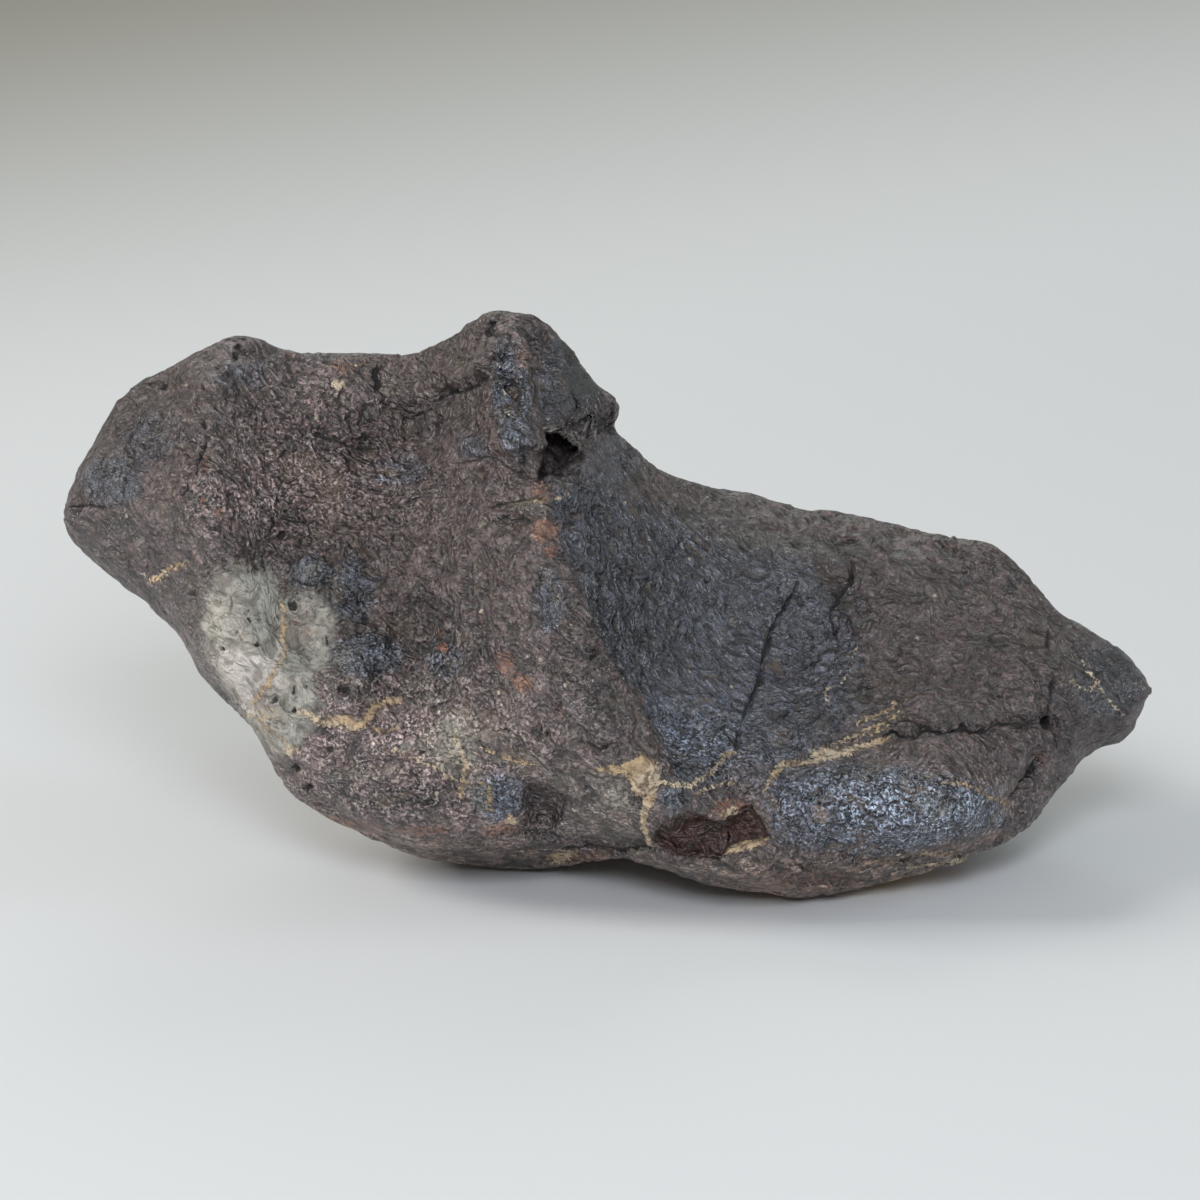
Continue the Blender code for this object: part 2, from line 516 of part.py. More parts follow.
def build_stone():
    points, faces = lofted_skin()
    work = bmesh.new()
    verts = [work.verts.new(point) for point in points]
    for face in faces:
        work.faces.new([verts[i] for i in face])
    bmesh.ops.recalc_face_normals(work, faces=work.faces)
    bmesh.ops.triangulate(work, faces=work.faces)
    for side, middle, half_size, longest in FINE_ZONES:
        divide_zone(work, side, np.array(middle), np.array(half_size), longest)

    points, _ = skin_arrays(work)
    for vert, point in zip(work.verts, cut_faces(points)):
        vert.co = Vector(point)
    points, normals = skin_arrays(work)
    points = points + lump_heights(points, normals)[:, None] * normals
    for side in (FRONT, BACK, UNDERSIDE):
        points = work_side(points, normals, side)
    points = pull(points, *LIP)
    points = pull(points, *UNDERCUT)
    points[:, 2] = np.maximum(points[:, 2], 0.0)

    middle = 0.5 * (points.min(axis=0) + points.max(axis=0))
    middle[2] = 0.0
    for vert, point in zip(work.verts, points - middle):
        vert.co = Vector(point) * METRES_PER_MM
    mesh = bpy.data.meshes.new("stone")
    work.to_mesh(mesh)
    work.free()
    mesh.materials.append(stone_material())
    return bpy.data.objects.new("stone", mesh)


def main():
    for old in list(bpy.data.objects):
        bpy.data.objects.remove(old)
    collection = bpy.data.collections.new("chondrite meteorite")
    bpy.context.scene.collection.children.link(collection)
    collection.objects.link(build_stone())


main()
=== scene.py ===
"""The looks of a chondrite meteorite: one weathered stone on a plain pale floor.

The stone's skin is the frame's solid, divided finely, evened and then worked: ledges, folds, cracks, pits
and crusts are laid where the camera sees them. Those places are given in pixels of a 1200 by 1200 picture
from the camera, while widths, depths and sizes are real ones in millimetres. The back, the underside and the
sides carry the same wear from seeded noise.
"""

import math

import bmesh
import bpy
import numpy as np
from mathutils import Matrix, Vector, noise


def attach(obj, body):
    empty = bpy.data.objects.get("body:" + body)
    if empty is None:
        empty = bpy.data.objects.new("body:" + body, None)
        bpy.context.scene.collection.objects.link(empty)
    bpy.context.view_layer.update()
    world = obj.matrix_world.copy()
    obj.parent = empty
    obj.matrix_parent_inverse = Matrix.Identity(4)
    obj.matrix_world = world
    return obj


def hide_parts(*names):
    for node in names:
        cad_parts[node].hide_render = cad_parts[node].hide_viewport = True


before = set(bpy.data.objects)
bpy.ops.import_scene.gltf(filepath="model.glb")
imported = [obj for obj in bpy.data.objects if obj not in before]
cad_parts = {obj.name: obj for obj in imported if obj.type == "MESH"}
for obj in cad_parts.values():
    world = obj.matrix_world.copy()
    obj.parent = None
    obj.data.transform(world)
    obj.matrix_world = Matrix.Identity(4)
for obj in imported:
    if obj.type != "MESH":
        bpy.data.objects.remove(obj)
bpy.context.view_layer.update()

MM = 0.001

# The camera: how steeply it looks down, how far it stands off, the point it aims at, and the size on the
# stone of one pixel of the 1200 pixel picture.
LOOK_DOWN = math.radians(17.0)
CAMERA_DISTANCE = 0.70
CAMERA_AIM = np.array((-0.59, -3.83, 21.0)) * MM
PICTURE_PIXELS = 1200
PIXEL_MM = 0.077
SENSOR_MM = 36.0

TOWARD_CAMERA = np.array((0.0, -math.cos(LOOK_DOWN), math.sin(LOOK_DOWN)))
PICTURE_UP = np.array((0.0, math.sin(LOOK_DOWN), math.cos(LOOK_DOWN)))

# The skin is first divided evenly, to each of these edge lengths in turn with so many rounds of smoothing.
# Then come the lengths, in millimetres, on the side the camera sees, elsewhere, and next to cracks, folds
# and crusts.
FIRST_PASSES = ((1.6, 4), (1.0, 5), (0.8, 3))
FRONT_EDGE_MM = 0.52
FAR_EDGE_MM = 0.95
FINE_EDGE_MM = 0.28
FINE_REACH_MM = 0.32
FINE_PASSES = 4
MAP_STEP_PIXELS = 3

# The skin is smoothed by moving each vertex in by one share and out by the other.
SMOOTH_IN = 0.5
SMOOTH_OUT = -0.53
# Below this height the skin rests on the floor.
ON_FLOOR_MM = 0.02
# Soil clings most below the lower of these heights, and no more above the higher one.
LOW_MM = 3.0
HIGH_MM = 16.0
# Vertices of the solid that are this near to each other, in metres, are one.
MERGE_WITHIN = 1e-6
# How far cracks, pits and zones stray from where they are drawn, how wide a crack's walls are at least, and
# how far from a crack its gape still counts.
CRACK_WANDER_MM = 0.10
CRACK_WALL_MM = 0.12
CRACK_REACH_MM = 0.60
PIT_WANDER_MM = 0.22
ZONE_WANDER_MM = 0.35
# Farther than anything on the stone, and as far as a zone's own distance counts.
LARGE_MM = 50.0
ZONE_REACH_MM = 2.0
# How near to edge-on the skin is calmer, so that its outline in the picture is smooth.
RIM_REACH = 0.35
# The size in millimetres and the seed of the noises that place crusts, pale film, rust and bluish skin where
# the camera doesn't see.
DRIFTS = ((9.0, 7.0), (6.0, 8.0), (5.0, 9.0), (7.0, 10.0))


def smooth_step(start, end, value):
    """0 before start, 1 past end, and a smooth rise between them."""
    t = np.clip((value - start) / (end - start), 0.0, 1.0)
    return t * t * (3.0 - 2.0 * t)


def picture_places(points):
    """Where points of the frame, in millimetres, stand in the camera's picture, in pixels."""
    camera_at = CAMERA_AIM + CAMERA_DISTANCE * TOWARD_CAMERA
    ray = points * MM - camera_at
    away = -ray @ TOWARD_CAMERA
    pixels = CAMERA_DISTANCE / (PIXEL_MM * MM)
    column = 0.5 * PICTURE_PIXELS + pixels * ray[:, 0] / away
    row = 0.5 * PICTURE_PIXELS - pixels * (ray @ PICTURE_UP) / away
    return np.stack([column, row], axis=1)


def noise_at(points, size, seed):
    """Smooth noise, from about -1 to 1, with bumps of this size at each point."""
    shift = Vector((seed * 17.3, seed * 9.1, seed * 31.7))
    return np.array([noise.noise(Vector(point) + shift) for point in points / size])


# Lines and outlines in the picture, in pixels.
MAIN_RIDGE = ((548, 500), (560, 540), (570, 562), (580, 582), (592, 615), (605, 647), (615, 670), (630, 685),
              (644, 695), (642, 710), (652, 722), (660, 740), (670, 757), (676, 775))
RIB_EDGE = ((531, 335), (529, 375), (530, 387), (532, 400), (536, 412), (540, 430), (546, 440), (545, 455))

# Cracks: the line, the width of the opening and its depth.
CRACKS = {
    "long scoop crack": (((797, 583), (793, 592), (785, 604), (782, 611), (775, 621), (770, 632), (768, 642),
                          (764, 656), (760, 680), (755, 690), (748, 705), (741, 724)), 0.14, 0.50),
    "foot of the long crack": (((739, 729), (737, 736), (736, 750)), 0.13, 0.40),
    "short scoop crack": (((852, 561), (851, 580), (846, 586), (838, 594), (835, 604), (829, 612)),
                          0.12, 0.40),
    "tail of the short crack": (((829, 612), (830, 618), (834, 630), (838, 641)), 0.08, 0.20),
    "scoop hairline": (((684, 533), (677, 547), (667, 561)), 0.10, 0.20),
    "scoop hairline branch": (((673, 557), (679, 566), (687, 574)), 0.09, 0.15),
    "fissure": (((884, 734), (893, 730), (905, 736), (915, 737), (919, 731), (927, 727), (935, 730),
                 (944, 732), (952, 729), (962, 726), (972, 730), (985, 731), (994, 725)), 0.28, 0.80),
    "fissure's upper lip": (((884, 721), (893, 722), (901, 718), (912, 719), (921, 726)), 0.15, 0.35),
    "fissure's thin end": (((994, 725), (1006, 724), (1020, 725), (1036, 724), (1044, 722)), 0.13, 0.25),
    "crack above the hole": (((1048, 715), (1050, 702), (1052, 690), (1055, 675)), 0.14, 0.30),
    "faint crack above": (((1049, 630), (1048, 648)), 0.13, 0.22),
    "crack below the hole": (((1050, 726), (1056, 736), (1058, 752)), 0.10, 0.22),
    "bulge's end crack": (((1037, 760), (1033, 771), (1026, 777), (1020, 786), (1012, 797)), 0.22, 0.60),
    "left crack's head": (((202, 419), (206, 431)), 0.28, 0.45),
    "left crack": (((206, 437), (205, 443), (202, 452), (198, 462), (196, 473)), 0.21, 0.65),
    "left crack's foot": (((191, 474), (186, 480), (186, 487), (181, 496)), 0.17, 0.40),
    "left tip hairline": (((64, 507), (85, 505), (108, 508)), 0.11, 0.18),
    "short rib crack": (((523, 449), (524, 459), (523, 468)), 0.18, 0.45),
    "smooth face crack": (((572, 391), (577, 402), (582, 416)), 0.15, 0.40),
    "crest slot": (((377, 366), (374, 374), (378, 384), (374, 391)), 0.35, 0.60),
    "slot's branch": (((372, 372), (382, 367)), 0.21, 0.35),
    "side pit's slit": (((272, 512), (274, 524), (270, 534)), 0.21, 0.45),
}

# Creases: soft valleys with a thin dark line at the bottom. The line, the valley's width and its depth.
CREASES = {
    "under the peak's lip": (((592, 432), (606, 428), (618, 424)), 0.8, 0.90),
    "peak crease": (((505, 377), (512, 384), (517, 392), (518, 402), (516, 418)), 0.9, 0.70),
    "plateau fold": (((492, 374), (480, 385), (465, 391), (447, 396), (434, 403)), 1.2, 0.70),
    "rib's foot": (((455, 463), (466, 462), (477, 461), (487, 457), (497, 458), (505, 465), (515, 471),
                    (525, 477), (536, 479)), 0.9, 0.60),
    "rib's inner crease": (((490, 430), (487, 444), (487, 453)), 0.7, 0.45),
    "upper rib crease": (((512, 335), (505, 350), (502, 366)), 0.7, 0.50),
    "upper peak crease": (((494, 322), (488, 330), (497, 338)), 0.6, 0.40),
    "fold under the hole": (((488, 508), (510, 503), (530, 500)), 0.7, 0.45),
    "lower fold under the hole": (((496, 516), (510, 520), (530, 522)), 0.7, 0.40),
    "plateau dip": (((312, 432), (335, 440), (356, 449), (380, 448)), 1.8, 0.50),
    "chunk's lower edge": (((586, 742), (600, 750), (610, 745)), 0.6, 0.30),
    "foot edge": (((560, 849), (590, 846), (620, 850), (640, 848), (655, 850)), 0.9, 0.50),
}
CREASE_LINE_MM = 0.16
CREASE_LINE_DEPTH_MM = 0.15

# Pits: the middle, how wide and high in millimetres, the turn in degrees, and the depth.
PITS = {
    "hole at the fissure's end": ((1047, 721), 0.30, 0.43, -15.0, 1.30),
    "fissure's dark pocket": ((962, 726), 0.43, 0.27, 10.0, 0.80),
    "crest pit": ((236, 356), 0.22, 0.40, 10.0, 0.60),
    "crest pit's top": ((239, 346), 0.18, 0.25, 0.0, 0.40),
    "side pit": ((281, 536), 0.40, 0.32, 0.0, 0.70),
    "left tip pit": ((90, 493), 0.16, 0.29, 0.0, 0.45),
    "left tip pit two": ((111, 471), 0.16, 0.16, 0.0, 0.40),
    "left tip pit three": ((124, 478), 0.14, 0.25, 0.0, 0.35),
    "left tip pit four": ((122, 491), 0.18, 0.22, 0.0, 0.35),
    "left face pit": ((164, 386), 0.22, 0.32, 20.0, 0.35),
    "left face pore": ((163, 489), 0.10, 0.10, 0.0, 0.25),
    "scoop pore one": ((684, 557), 0.13, 0.12, 0.0, 0.35),
    "scoop pore two": ((707, 581), 0.16, 0.14, 30.0, 0.40),
    "scoop pore three": ((736, 581), 0.12, 0.10, 0.0, 0.30),
    "scoop pore four": ((772, 587), 0.11, 0.09, 0.0, 0.28),
    "scoop pit": ((665, 668), 0.13, 0.23, 25.0, 0.35),
    "scoop nick": ((811, 663), 0.22, 0.12, -20.0, 0.30),
    "middle pore": ((434, 551), 0.12, 0.12, 0.0, 0.35),
    "low pore": ((458, 701), 0.13, 0.10, 0.0, 0.30),
    "pit in the white vein": ((421, 753), 0.20, 0.17, 0.0, 0.50),
    "pale patch pit": ((294, 606), 0.36, 0.40, 0.0, 0.70),
    "pale patch slit": ((280, 618), 0.12, 0.29, -10.0, 0.50),
    "pale patch pit two": ((250, 620), 0.22, 0.20, 30.0, 0.35),
    "pale patch pit three": ((237, 633), 0.14, 0.17, 0.0, 0.30),
    "pale patch pit four": ((258, 644), 0.20, 0.19, 0.0, 0.40),
    "pale patch pit five": ((275, 645), 0.17, 0.22, 20.0, 0.40),
    "pale patch pit six": ((222, 651), 0.29, 0.22, 0.0, 0.35),
    "pale patch pit seven": ((294, 690), 0.17, 0.40, 15.0, 0.40),
    "pale patch pit eight": ((306, 686), 0.14, 0.30, -15.0, 0.40),
    "pale patch pit nine": ((274, 702), 0.36, 0.30, 30.0, 0.40),
    "pale patch pit ten": ((294, 712), 0.26, 0.22, 0.0, 0.35),
    "pale patch pit eleven": ((326, 640), 0.14, 0.36, 0.0, 0.30),
    "blue lump's pit": ((346, 690), 0.43, 0.36, 0.0, 0.50),
    "blue lump's pit two": ((364, 620), 0.29, 0.36, 0.0, 0.40),
    "lower left pit": ((308, 788), 0.36, 0.32, 30.0, 0.55),
    "lower left pit two": ((296, 768), 0.32, 0.29, 0.0, 0.35),
    "lower left pit three": ((330, 750), 0.36, 0.36, 0.0, 0.35),
    "central pit": ((547, 735), 0.17, 0.36, -20.0, 0.40),
    "central pit two": ((566, 676), 0.22, 0.16, 0.0, 0.35),
    "ledge nick": ((642, 735), 0.13, 0.22, 0.0, 0.40),
    "spot under the hole": ((434, 548), 0.09, 0.09, 0.0, 0.20),
    "foot pit": ((502, 836), 0.32, 0.22, 0.0, 0.50),
}

# Folds and lumps that stand out of the skin: the line, the width and the height.
FOLDS = {
    "rib": (((500, 330), (510, 345), (520, 362), (526, 385), (528, 410), (530, 440), (528, 462)), 1.3, 1.00),
    "rib's left fold": (((496, 338), (490, 362), (496, 378)), 1.1, 0.75),
    "rib's middle": (((503, 405), (506, 425), (512, 440), (514, 456)), 1.2, 0.75),
    "rib's lower lobe": (((462, 448), (472, 452), (480, 446)), 1.6, 0.80),
    "plateau fold's back": (((500, 366), (484, 374), (462, 380), (442, 388)), 1.4, 0.80),
    "bowl's rim": (((540, 484), (552, 490), (566, 488), (580, 476), (586, 462)), 0.9, 0.60),
    "lip under the fissure": (((890, 744), (925, 741), (960, 736), (990, 737)), 1.4, 0.20),
    "main ridge's back": (((552, 520), (565, 560), (580, 600), (596, 640), (612, 675), (636, 700),
                           (648, 730)), 2.6, 0.35),
    "foot's edge": (((330, 812), (370, 822), (440, 832), (500, 830), (540, 838)), 1.2, 0.30),
    "spall's inner ridge": (((667, 842), (685, 830), (707, 818)), 0.7, 0.35),
    "crust on the spall": (((712, 812), (724, 806), (740, 802)), 1.3, 0.35),
    "right tip's edge": (((1077, 652), (1092, 672), (1112, 700), (1128, 720)), 1.8, 0.25),
    "peak's lip": (((583, 370), (598, 388), (615, 406)), 1.6, 0.30),
    "bulge": (((800, 800), (850, 800), (930, 806), (985, 818)), 3.6, 1.1),
    "blue lump": (((350, 650), (370, 645), (392, 652)), 3.0, 0.45),
    "upper blue lump": (((300, 560), (330, 555), (365, 560)), 2.6, 0.25),
}

# Ledges: the line, how far the skin drops on its left-hand side in the picture, and over what reach the
# drop fades out.
LEDGES = {
    "main ridge": (MAIN_RIDGE, 1.3, 6.0),
    "rib's edge": (RIB_EDGE, 1.2, 4.0),
}

SPALL = ((655, 834), (672, 820), (690, 812), (707, 815), (713, 822), (726, 821), (740, 811), (750, 804),
         (760, 820), (766, 836), (750, 842), (728, 847), (722, 855), (697, 857), (672, 856), (655, 848))
HOLE = ((550, 444), (563, 445), (572, 440), (580, 442), (571, 450), (566, 460), (559, 470), (547, 476),
        (538, 479), (541, 466), (546, 452))
NOTCH = ((526, 784), (548, 786), (564, 800), (562, 822), (548, 831), (531, 830), (526, 806))
# Sunken outlines: the outline, the depth and the width of the wall.
SUNKEN = {
    "spall": (SPALL, 1.3, 0.45),
    "hole": (HOLE, 2.6, 0.35),
    "notch": (NOTCH, 0.9, 0.60),
}


def wandering(points, size, seeds):
    """A smooth shift in the picture for each point, in pixels, of up to about one millimetre each way."""
    return np.stack([noise_at(points, size, seed) for seed in seeds], axis=1) / PIXEL_MM


def line_distance(places, line):
    """How far each place is from a line, how far on its left in the picture, and its share of the way."""
    line = np.array(line, float)
    nearest = np.full(len(places), np.inf)
    left = np.zeros(len(places))
    share = np.zeros(len(places))
    steps = line[1:] - line[:-1]
    lengths = np.linalg.norm(steps, axis=1)
    travelled = 0.0
    for start, step, length in zip(line[:-1], steps, lengths):
        offset = places - start
        t = np.clip(offset @ step / length ** 2, 0.0, 1.0)
        gap = np.linalg.norm(offset - t[:, None] * step, axis=1)
        closer = gap < nearest
        nearest[closer] = gap[closer]
        # The picture's second axis points down, so the sign is turned round.
        left[closer] = (-np.sign(step[0] * offset[:, 1] - step[1] * offset[:, 0]) * gap)[closer]
        share[closer] = ((travelled + t * length) / lengths.sum())[closer]
        travelled += length
    return nearest * PIXEL_MM, left * PIXEL_MM, share


def inside_outline(places, outline):
    """How far inside a closed outline each place is, in millimetres, and negative outside it."""
    ring = tuple(outline) + (outline[0],)
    nearest, _, _ = line_distance(places, ring)
    inside = np.zeros(len(places), bool)
    for (ax, ay), (bx, by) in zip(ring[:-1], ring[1:]):
        spans = (ay > places[:, 1]) != (by > places[:, 1])
        crossing = ax + (places[:, 1] - ay) / (by - ay + 1e-9) * (bx - ax)
        inside ^= spans & (places[:, 0] < crossing)
    return np.where(inside, nearest, -nearest)


def oval_distance(places, middle, half_width, half_height, turn):
    """0 in the middle of an oval given in millimetres, 1 on its rim."""
    angle = math.radians(turn)
    offset = (places - np.array(middle)) * PIXEL_MM
    across = offset[:, 0] * math.cos(angle) - offset[:, 1] * math.sin(angle)
    up = offset[:, 0] * math.sin(angle) + offset[:, 1] * math.cos(angle)
    return np.hypot(across / half_width, up / half_height)


# Crusts of pale soil salts that run as lines: the line and half its width.
CREAM_LINES = {
    "long vein": (((765, 790), (770, 780), (779, 767), (790, 762), (810, 760), (830, 757), (842, 754),
                   (860, 747), (876, 742), (890, 737)), 0.19),
    "long vein's thick part": (((812, 753), (826, 751), (842, 753)), 0.30),
    "upper branch": (((815, 750), (834, 743), (852, 737), (868, 730), (880, 725), (900, 710)), 0.11),
    "left vein": (((655, 780), (672, 785), (690, 785), (705, 777), (715, 767), (725, 757), (737, 752)),
                  0.15),
    "left vein's loop": (((700, 792), (715, 786), (735, 781)), 0.10),
    "vein to the branch": (((855, 725), (875, 716), (890, 708), (898, 700)), 0.10),
    "pale fleck line": (((857, 645), (850, 665), (840, 685), (825, 690), (830, 714)), 0.02),
    "bulge's pale crack": (((937, 781), (955, 782), (967, 786), (980, 792), (1002, 802), (1012, 807)), 0.12),
    "lower right edge": (((905, 868), (930, 865), (950, 862), (967, 859)), 0.12),
    "spall's lower lip": (((727, 852), (745, 845), (767, 840)), 0.34),
    "running down": (((645, 800), (645, 812), (642, 828), (650, 848)), 0.26),
    "tan streak": (((297, 710), (310, 715), (325, 725), (345, 719), (357, 729), (367, 720), (375, 707),
                    (387, 701), (405, 700)), 0.26),
    "tan streak's blob": (((325, 722), (345, 719), (357, 730)), 0.48),
    "white thread": (((370, 727), (385, 732), (402, 726)), 0.14),
    "whitish vein": (((382, 750), (402, 752), (417, 760), (435, 766), (450, 780), (465, 783), (489, 785)),
                     0.08),
    "cream upright": (((455, 735), (462, 755), (465, 772), (460, 800)), 0.20),
    "second cream upright": (((489, 785), (490, 813)), 0.14),
    "pale line": (((480, 747), (512, 762), (535, 765)), 0.14),
    "left tan streak": (((150, 582), (167, 571), (187, 562)), 0.14),
    "pale patch streak": (((281, 597), (285, 622), (285, 652), (270, 680), (250, 707)), 0.22),
    "pale patch foot": (((245, 712), (262, 722), (280, 738), (294, 752)), 0.12),
    "tip's V": (((1077, 655), (1087, 667), (1095, 682), (1092, 690), (1080, 687), (1072, 681)), 0.03),
    "tip's line": (((1095, 682), (1110, 700), (1122, 716)), 0.0),
    "line under the hole": (((507, 502), (530, 501), (555, 499), (570, 494)), 0.05),
    "foot crust": (((547, 860), (562, 856), (580, 853)), 0.36),
    "underside streak": (((852, 868), (880, 862), (915, 856), (960, 852)), 0.02),
}

# Crusts and stains with an area: the middle, how wide and high in millimetres, the turn in degrees and how
# much of it is covered.
CREAM_PATCHES = (
    ((644, 778), 1.6, 2.3, 0.0, 1.0),
    ((632, 768), 1.2, 0.9, 0.0, 0.8),
    ((608, 770), 1.9, 0.6, 5.0, 0.7),
    ((650, 800), 0.7, 1.0, 0.0, 0.8),
    ((880, 728), 1.6, 0.7, 20.0, 0.55),
    ((700, 792), 0.6, 0.3, 0.0, 0.6),
    ((562, 857), 1.4, 0.6, 5.0, 0.8),
    ((512, 821), 0.7, 0.6, 0.0, 0.8),
    ((290, 751), 1.0, 0.4, -10.0, 0.7),
    ((270, 715), 1.8, 0.8, -30.0, 0.5),
    ((730, 812), 1.5, 0.6, 12.0, 0.6),
    ((455, 750), 1.2, 2.0, 0.0, 0.45),
    ((490, 800), 0.9, 1.2, 0.0, 0.45),
    ((337, 385), 0.9, 0.5, 0.0, 0.7),
    ((355, 363), 1.6, 0.4, 0.0, 0.5),
    ((290, 385), 0.5, 0.3, 0.0, 0.6),
    ((387, 429), 0.6, 0.4, 0.0, 0.5),
    ((189, 374), 0.4, 0.3, 0.0, 0.5),
    ((230, 430), 0.4, 0.3, 0.0, 0.5),
    ((840, 685), 1.0, 0.8, 0.0, 0.35),
    ((905, 712), 1.0, 0.6, 0.0, 0.4),
)
PALE_PATCHES = (
    ((455, 745), 1.6, 2.6, 0.0, 0.80),
    ((478, 792), 1.3, 1.6, 0.0, 0.65),
    ((405, 748), 1.6, 0.6, 20.0, 0.65),
    ((612, 800), 1.6, 1.4, 0.0, 0.55),
    ((350, 776), 2.4, 0.5, 0.0, 0.55),
    ((930, 806), 2.2, 1.0, 0.0, 0.55),
    ((345, 655), 0.9, 0.9, 0.0, 0.55),
    ((310, 570), 1.4, 0.7, 0.0, 0.55),
    ((640, 850), 0.5, 0.3, 0.0, 0.70),
    ((262, 640), 6.4, 6.6, 0.0, 0.62),
    ((262, 715), 3.4, 3.4, 40.0, 0.75),
)
RUST_PATCHES = (
    ((545, 530), 1.4, 1.2, 0.0, 0.85),
    ((551, 552), 0.6, 0.6, 0.0, 0.80),
    ((505, 664), 1.0, 1.2, 30.0, 0.75),
    ((522, 684), 1.1, 0.8, -30.0, 0.80),
    ((442, 647), 0.6, 0.5, 0.0, 0.75),
    ((438, 632), 0.4, 0.5, 0.0, 0.65),
    ((557, 712), 0.5, 0.4, 0.0, 0.60),
    ((295, 624), 0.5, 0.7, 0.0, 0.55),
    ((307, 632), 0.4, 0.6, 0.0, 0.50),
    ((202, 500), 0.4, 0.5, 0.0, 0.70),
    ((219, 512), 0.5, 0.5, 0.0, 0.70),
    ((205, 460), 0.5, 1.2, 0.0, 0.40),
    ((730, 808), 1.8, 0.9, 15.0, 0.75),
    ((350, 823), 3.2, 0.5, -8.0, 0.60),
    ((420, 831), 3.4, 0.5, 0.0, 0.50),
    ((500, 830), 2.2, 0.6, 10.0, 0.60),
    ((580, 858), 3.0, 0.7, 0.0, 0.55),
    ((522, 357), 0.9, 1.4, 0.0, 0.40),
    ((540, 490), 1.5, 1.0, 0.0, 0.45),
    ((345, 366), 1.6, 0.7, 0.0, 0.45),
    ((800, 880), 7.0, 1.2, 2.0, 0.40),
    ((1040, 760), 0.5, 0.7, 0.0, 0.40),
)
# Bluish skin, partly painted bluish sheen where the light is reflected.
BLUISH_SKIN_AND_SHEEN_PATCHES = (
    ((575, 370), 3.4, 5.2, -30.0, 0.85),
    ((612, 462), 2.8, 4.4, -30.0, 0.62),
    ((112, 480), 3.2, 2.6, 10.0, 0.75),
    ((150, 440), 3.4, 3.2, 30.0, 0.48),
    ((366, 655), 3.4, 1.9, 0.0, 1.00),
    ((312, 573), 2.4, 1.6, 0.0, 0.90),
    ((350, 590), 2.4, 3.2, 0.0, 0.85),
    ((500, 798), 2.4, 2.2, 0.0, 0.90),
    ((548, 600), 1.5, 3.4, 0.0, 0.75),
    ((512, 400), 1.8, 5.4, 5.0, 0.95),
    ((470, 447), 1.8, 1.4, 0.0, 0.65),
    ((1112, 678), 3.2, 3.8, -30.0, 0.90),
    ((445, 655), 2.2, 2.2, 0.0, 0.60),
    ((400, 470), 3.4, 1.6, 0.0, 0.50),
    ((675, 800), 1.5, 1.5, 0.0, 0.80),
    ((240, 375), 3.0, 1.6, 0.0, 0.50),
)
OLIVE_PATCHES = (
    ((770, 540), 7.5, 1.1, -6.0, 0.65),
    ((455, 740), 3.4, 3.2, 0.0, 0.85),
    ((238, 610), 2.4, 2.2, 0.0, 0.60),
    ((530, 502), 2.2, 0.7, 0.0, 0.70),
    ((425, 690), 3.0, 2.4, 0.0, 0.55),
    ((890, 732), 3.0, 1.4, 0.0, 0.50),
    ((520, 760), 2.6, 1.0, 0.0, 0.65),
)
# Painted shade: pits, the hole, the notch, the spall, the fissure and faces turned from the light, painted
# darker.
PAINTED_SHADE_PATCHES = (
    ((347, 690), 1.6, 1.2, 0.0, 0.70),
    ((365, 622), 1.2, 1.6, 0.0, 0.70),
    ((330, 668), 1.1, 1.2, 0.0, 0.60),
    ((590, 705), 3.6, 3.6, 0.0, 0.55),
    ((547, 810), 2.0, 2.2, 0.0, 0.80),
    ((560, 460), 1.8, 2.0, 40.0, 0.95),
    ((575, 375), 2.4, 3.6, -25.0, 0.45),
    ((430, 420), 3.4, 2.4, 20.0, 0.40),
    ((100, 530), 3.6, 1.2, 15.0, 0.35),
    ((700, 838), 2.2, 1.1, 5.0, 0.60),
    ((650, 630), 3.0, 4.5, -20.0, 0.30),
    ((1110, 680), 3.0, 3.2, 0.0, 0.45),
    ((1020, 825), 1.6, 1.6, 0.0, 0.50),
    ((915, 735), 2.6, 0.7, 5.0, 0.60),
    ((515, 410), 1.0, 0.8, 0.0, 0.80),
)
# Painted light and shade: where the rock is painted lighter, with painted sheen, or, below nothing, painted
# darker than the rest, as the light falls on it.
PAINTED_LIGHT_AND_SHADE_PATCHES = (
    ((970, 630), 13.0, 6.5, -15.0, -0.18),
    ((780, 575), 11.0, 4.0, -10.0, -0.30),
    ((588, 380), 3.6, 5.0, -30.0, -0.72),
    ((145, 450), 5.0, 5.0, 0.0, -0.50),
    ((110, 520), 3.0, 2.5, 0.0, -0.16),
    ((628, 590), 3.0, 9.0, 20.0, -0.26),
    ((400, 430), 6.0, 3.0, 20.0, -0.20),
    ((1110, 672), 4.0, 5.0, 0.0, -0.48),
    ((1010, 790), 3.6, 3.6, 0.0, -0.15),
    ((700, 680), 4.0, 3.0, 0.0, -0.15),
    ((300, 400), 5.0, 3.5, 0.0, 1.10),
    ((285, 485), 8.0, 3.6, 0.0, 2.20),
    ((512, 395), 1.7, 6.0, 5.0, 0.45),
    ((400, 750), 11.0, 4.0, 10.0, 2.10),
    ((330, 690), 4.0, 3.0, 0.0, 0.90),
    ((430, 815), 10.0, 2.4, 0.0, 1.10),
    ((600, 820), 5.0, 3.0, 0.0, 0.95),
    ((910, 808), 7.5, 2.8, 0.0, 2.90),
    ((820, 800), 5.0, 2.6, 0.0, 1.05),
    ((705, 745), 4.5, 3.0, 0.0, 1.10),
    ((800, 880), 9.0, 1.5, 0.0, 0.90),
)
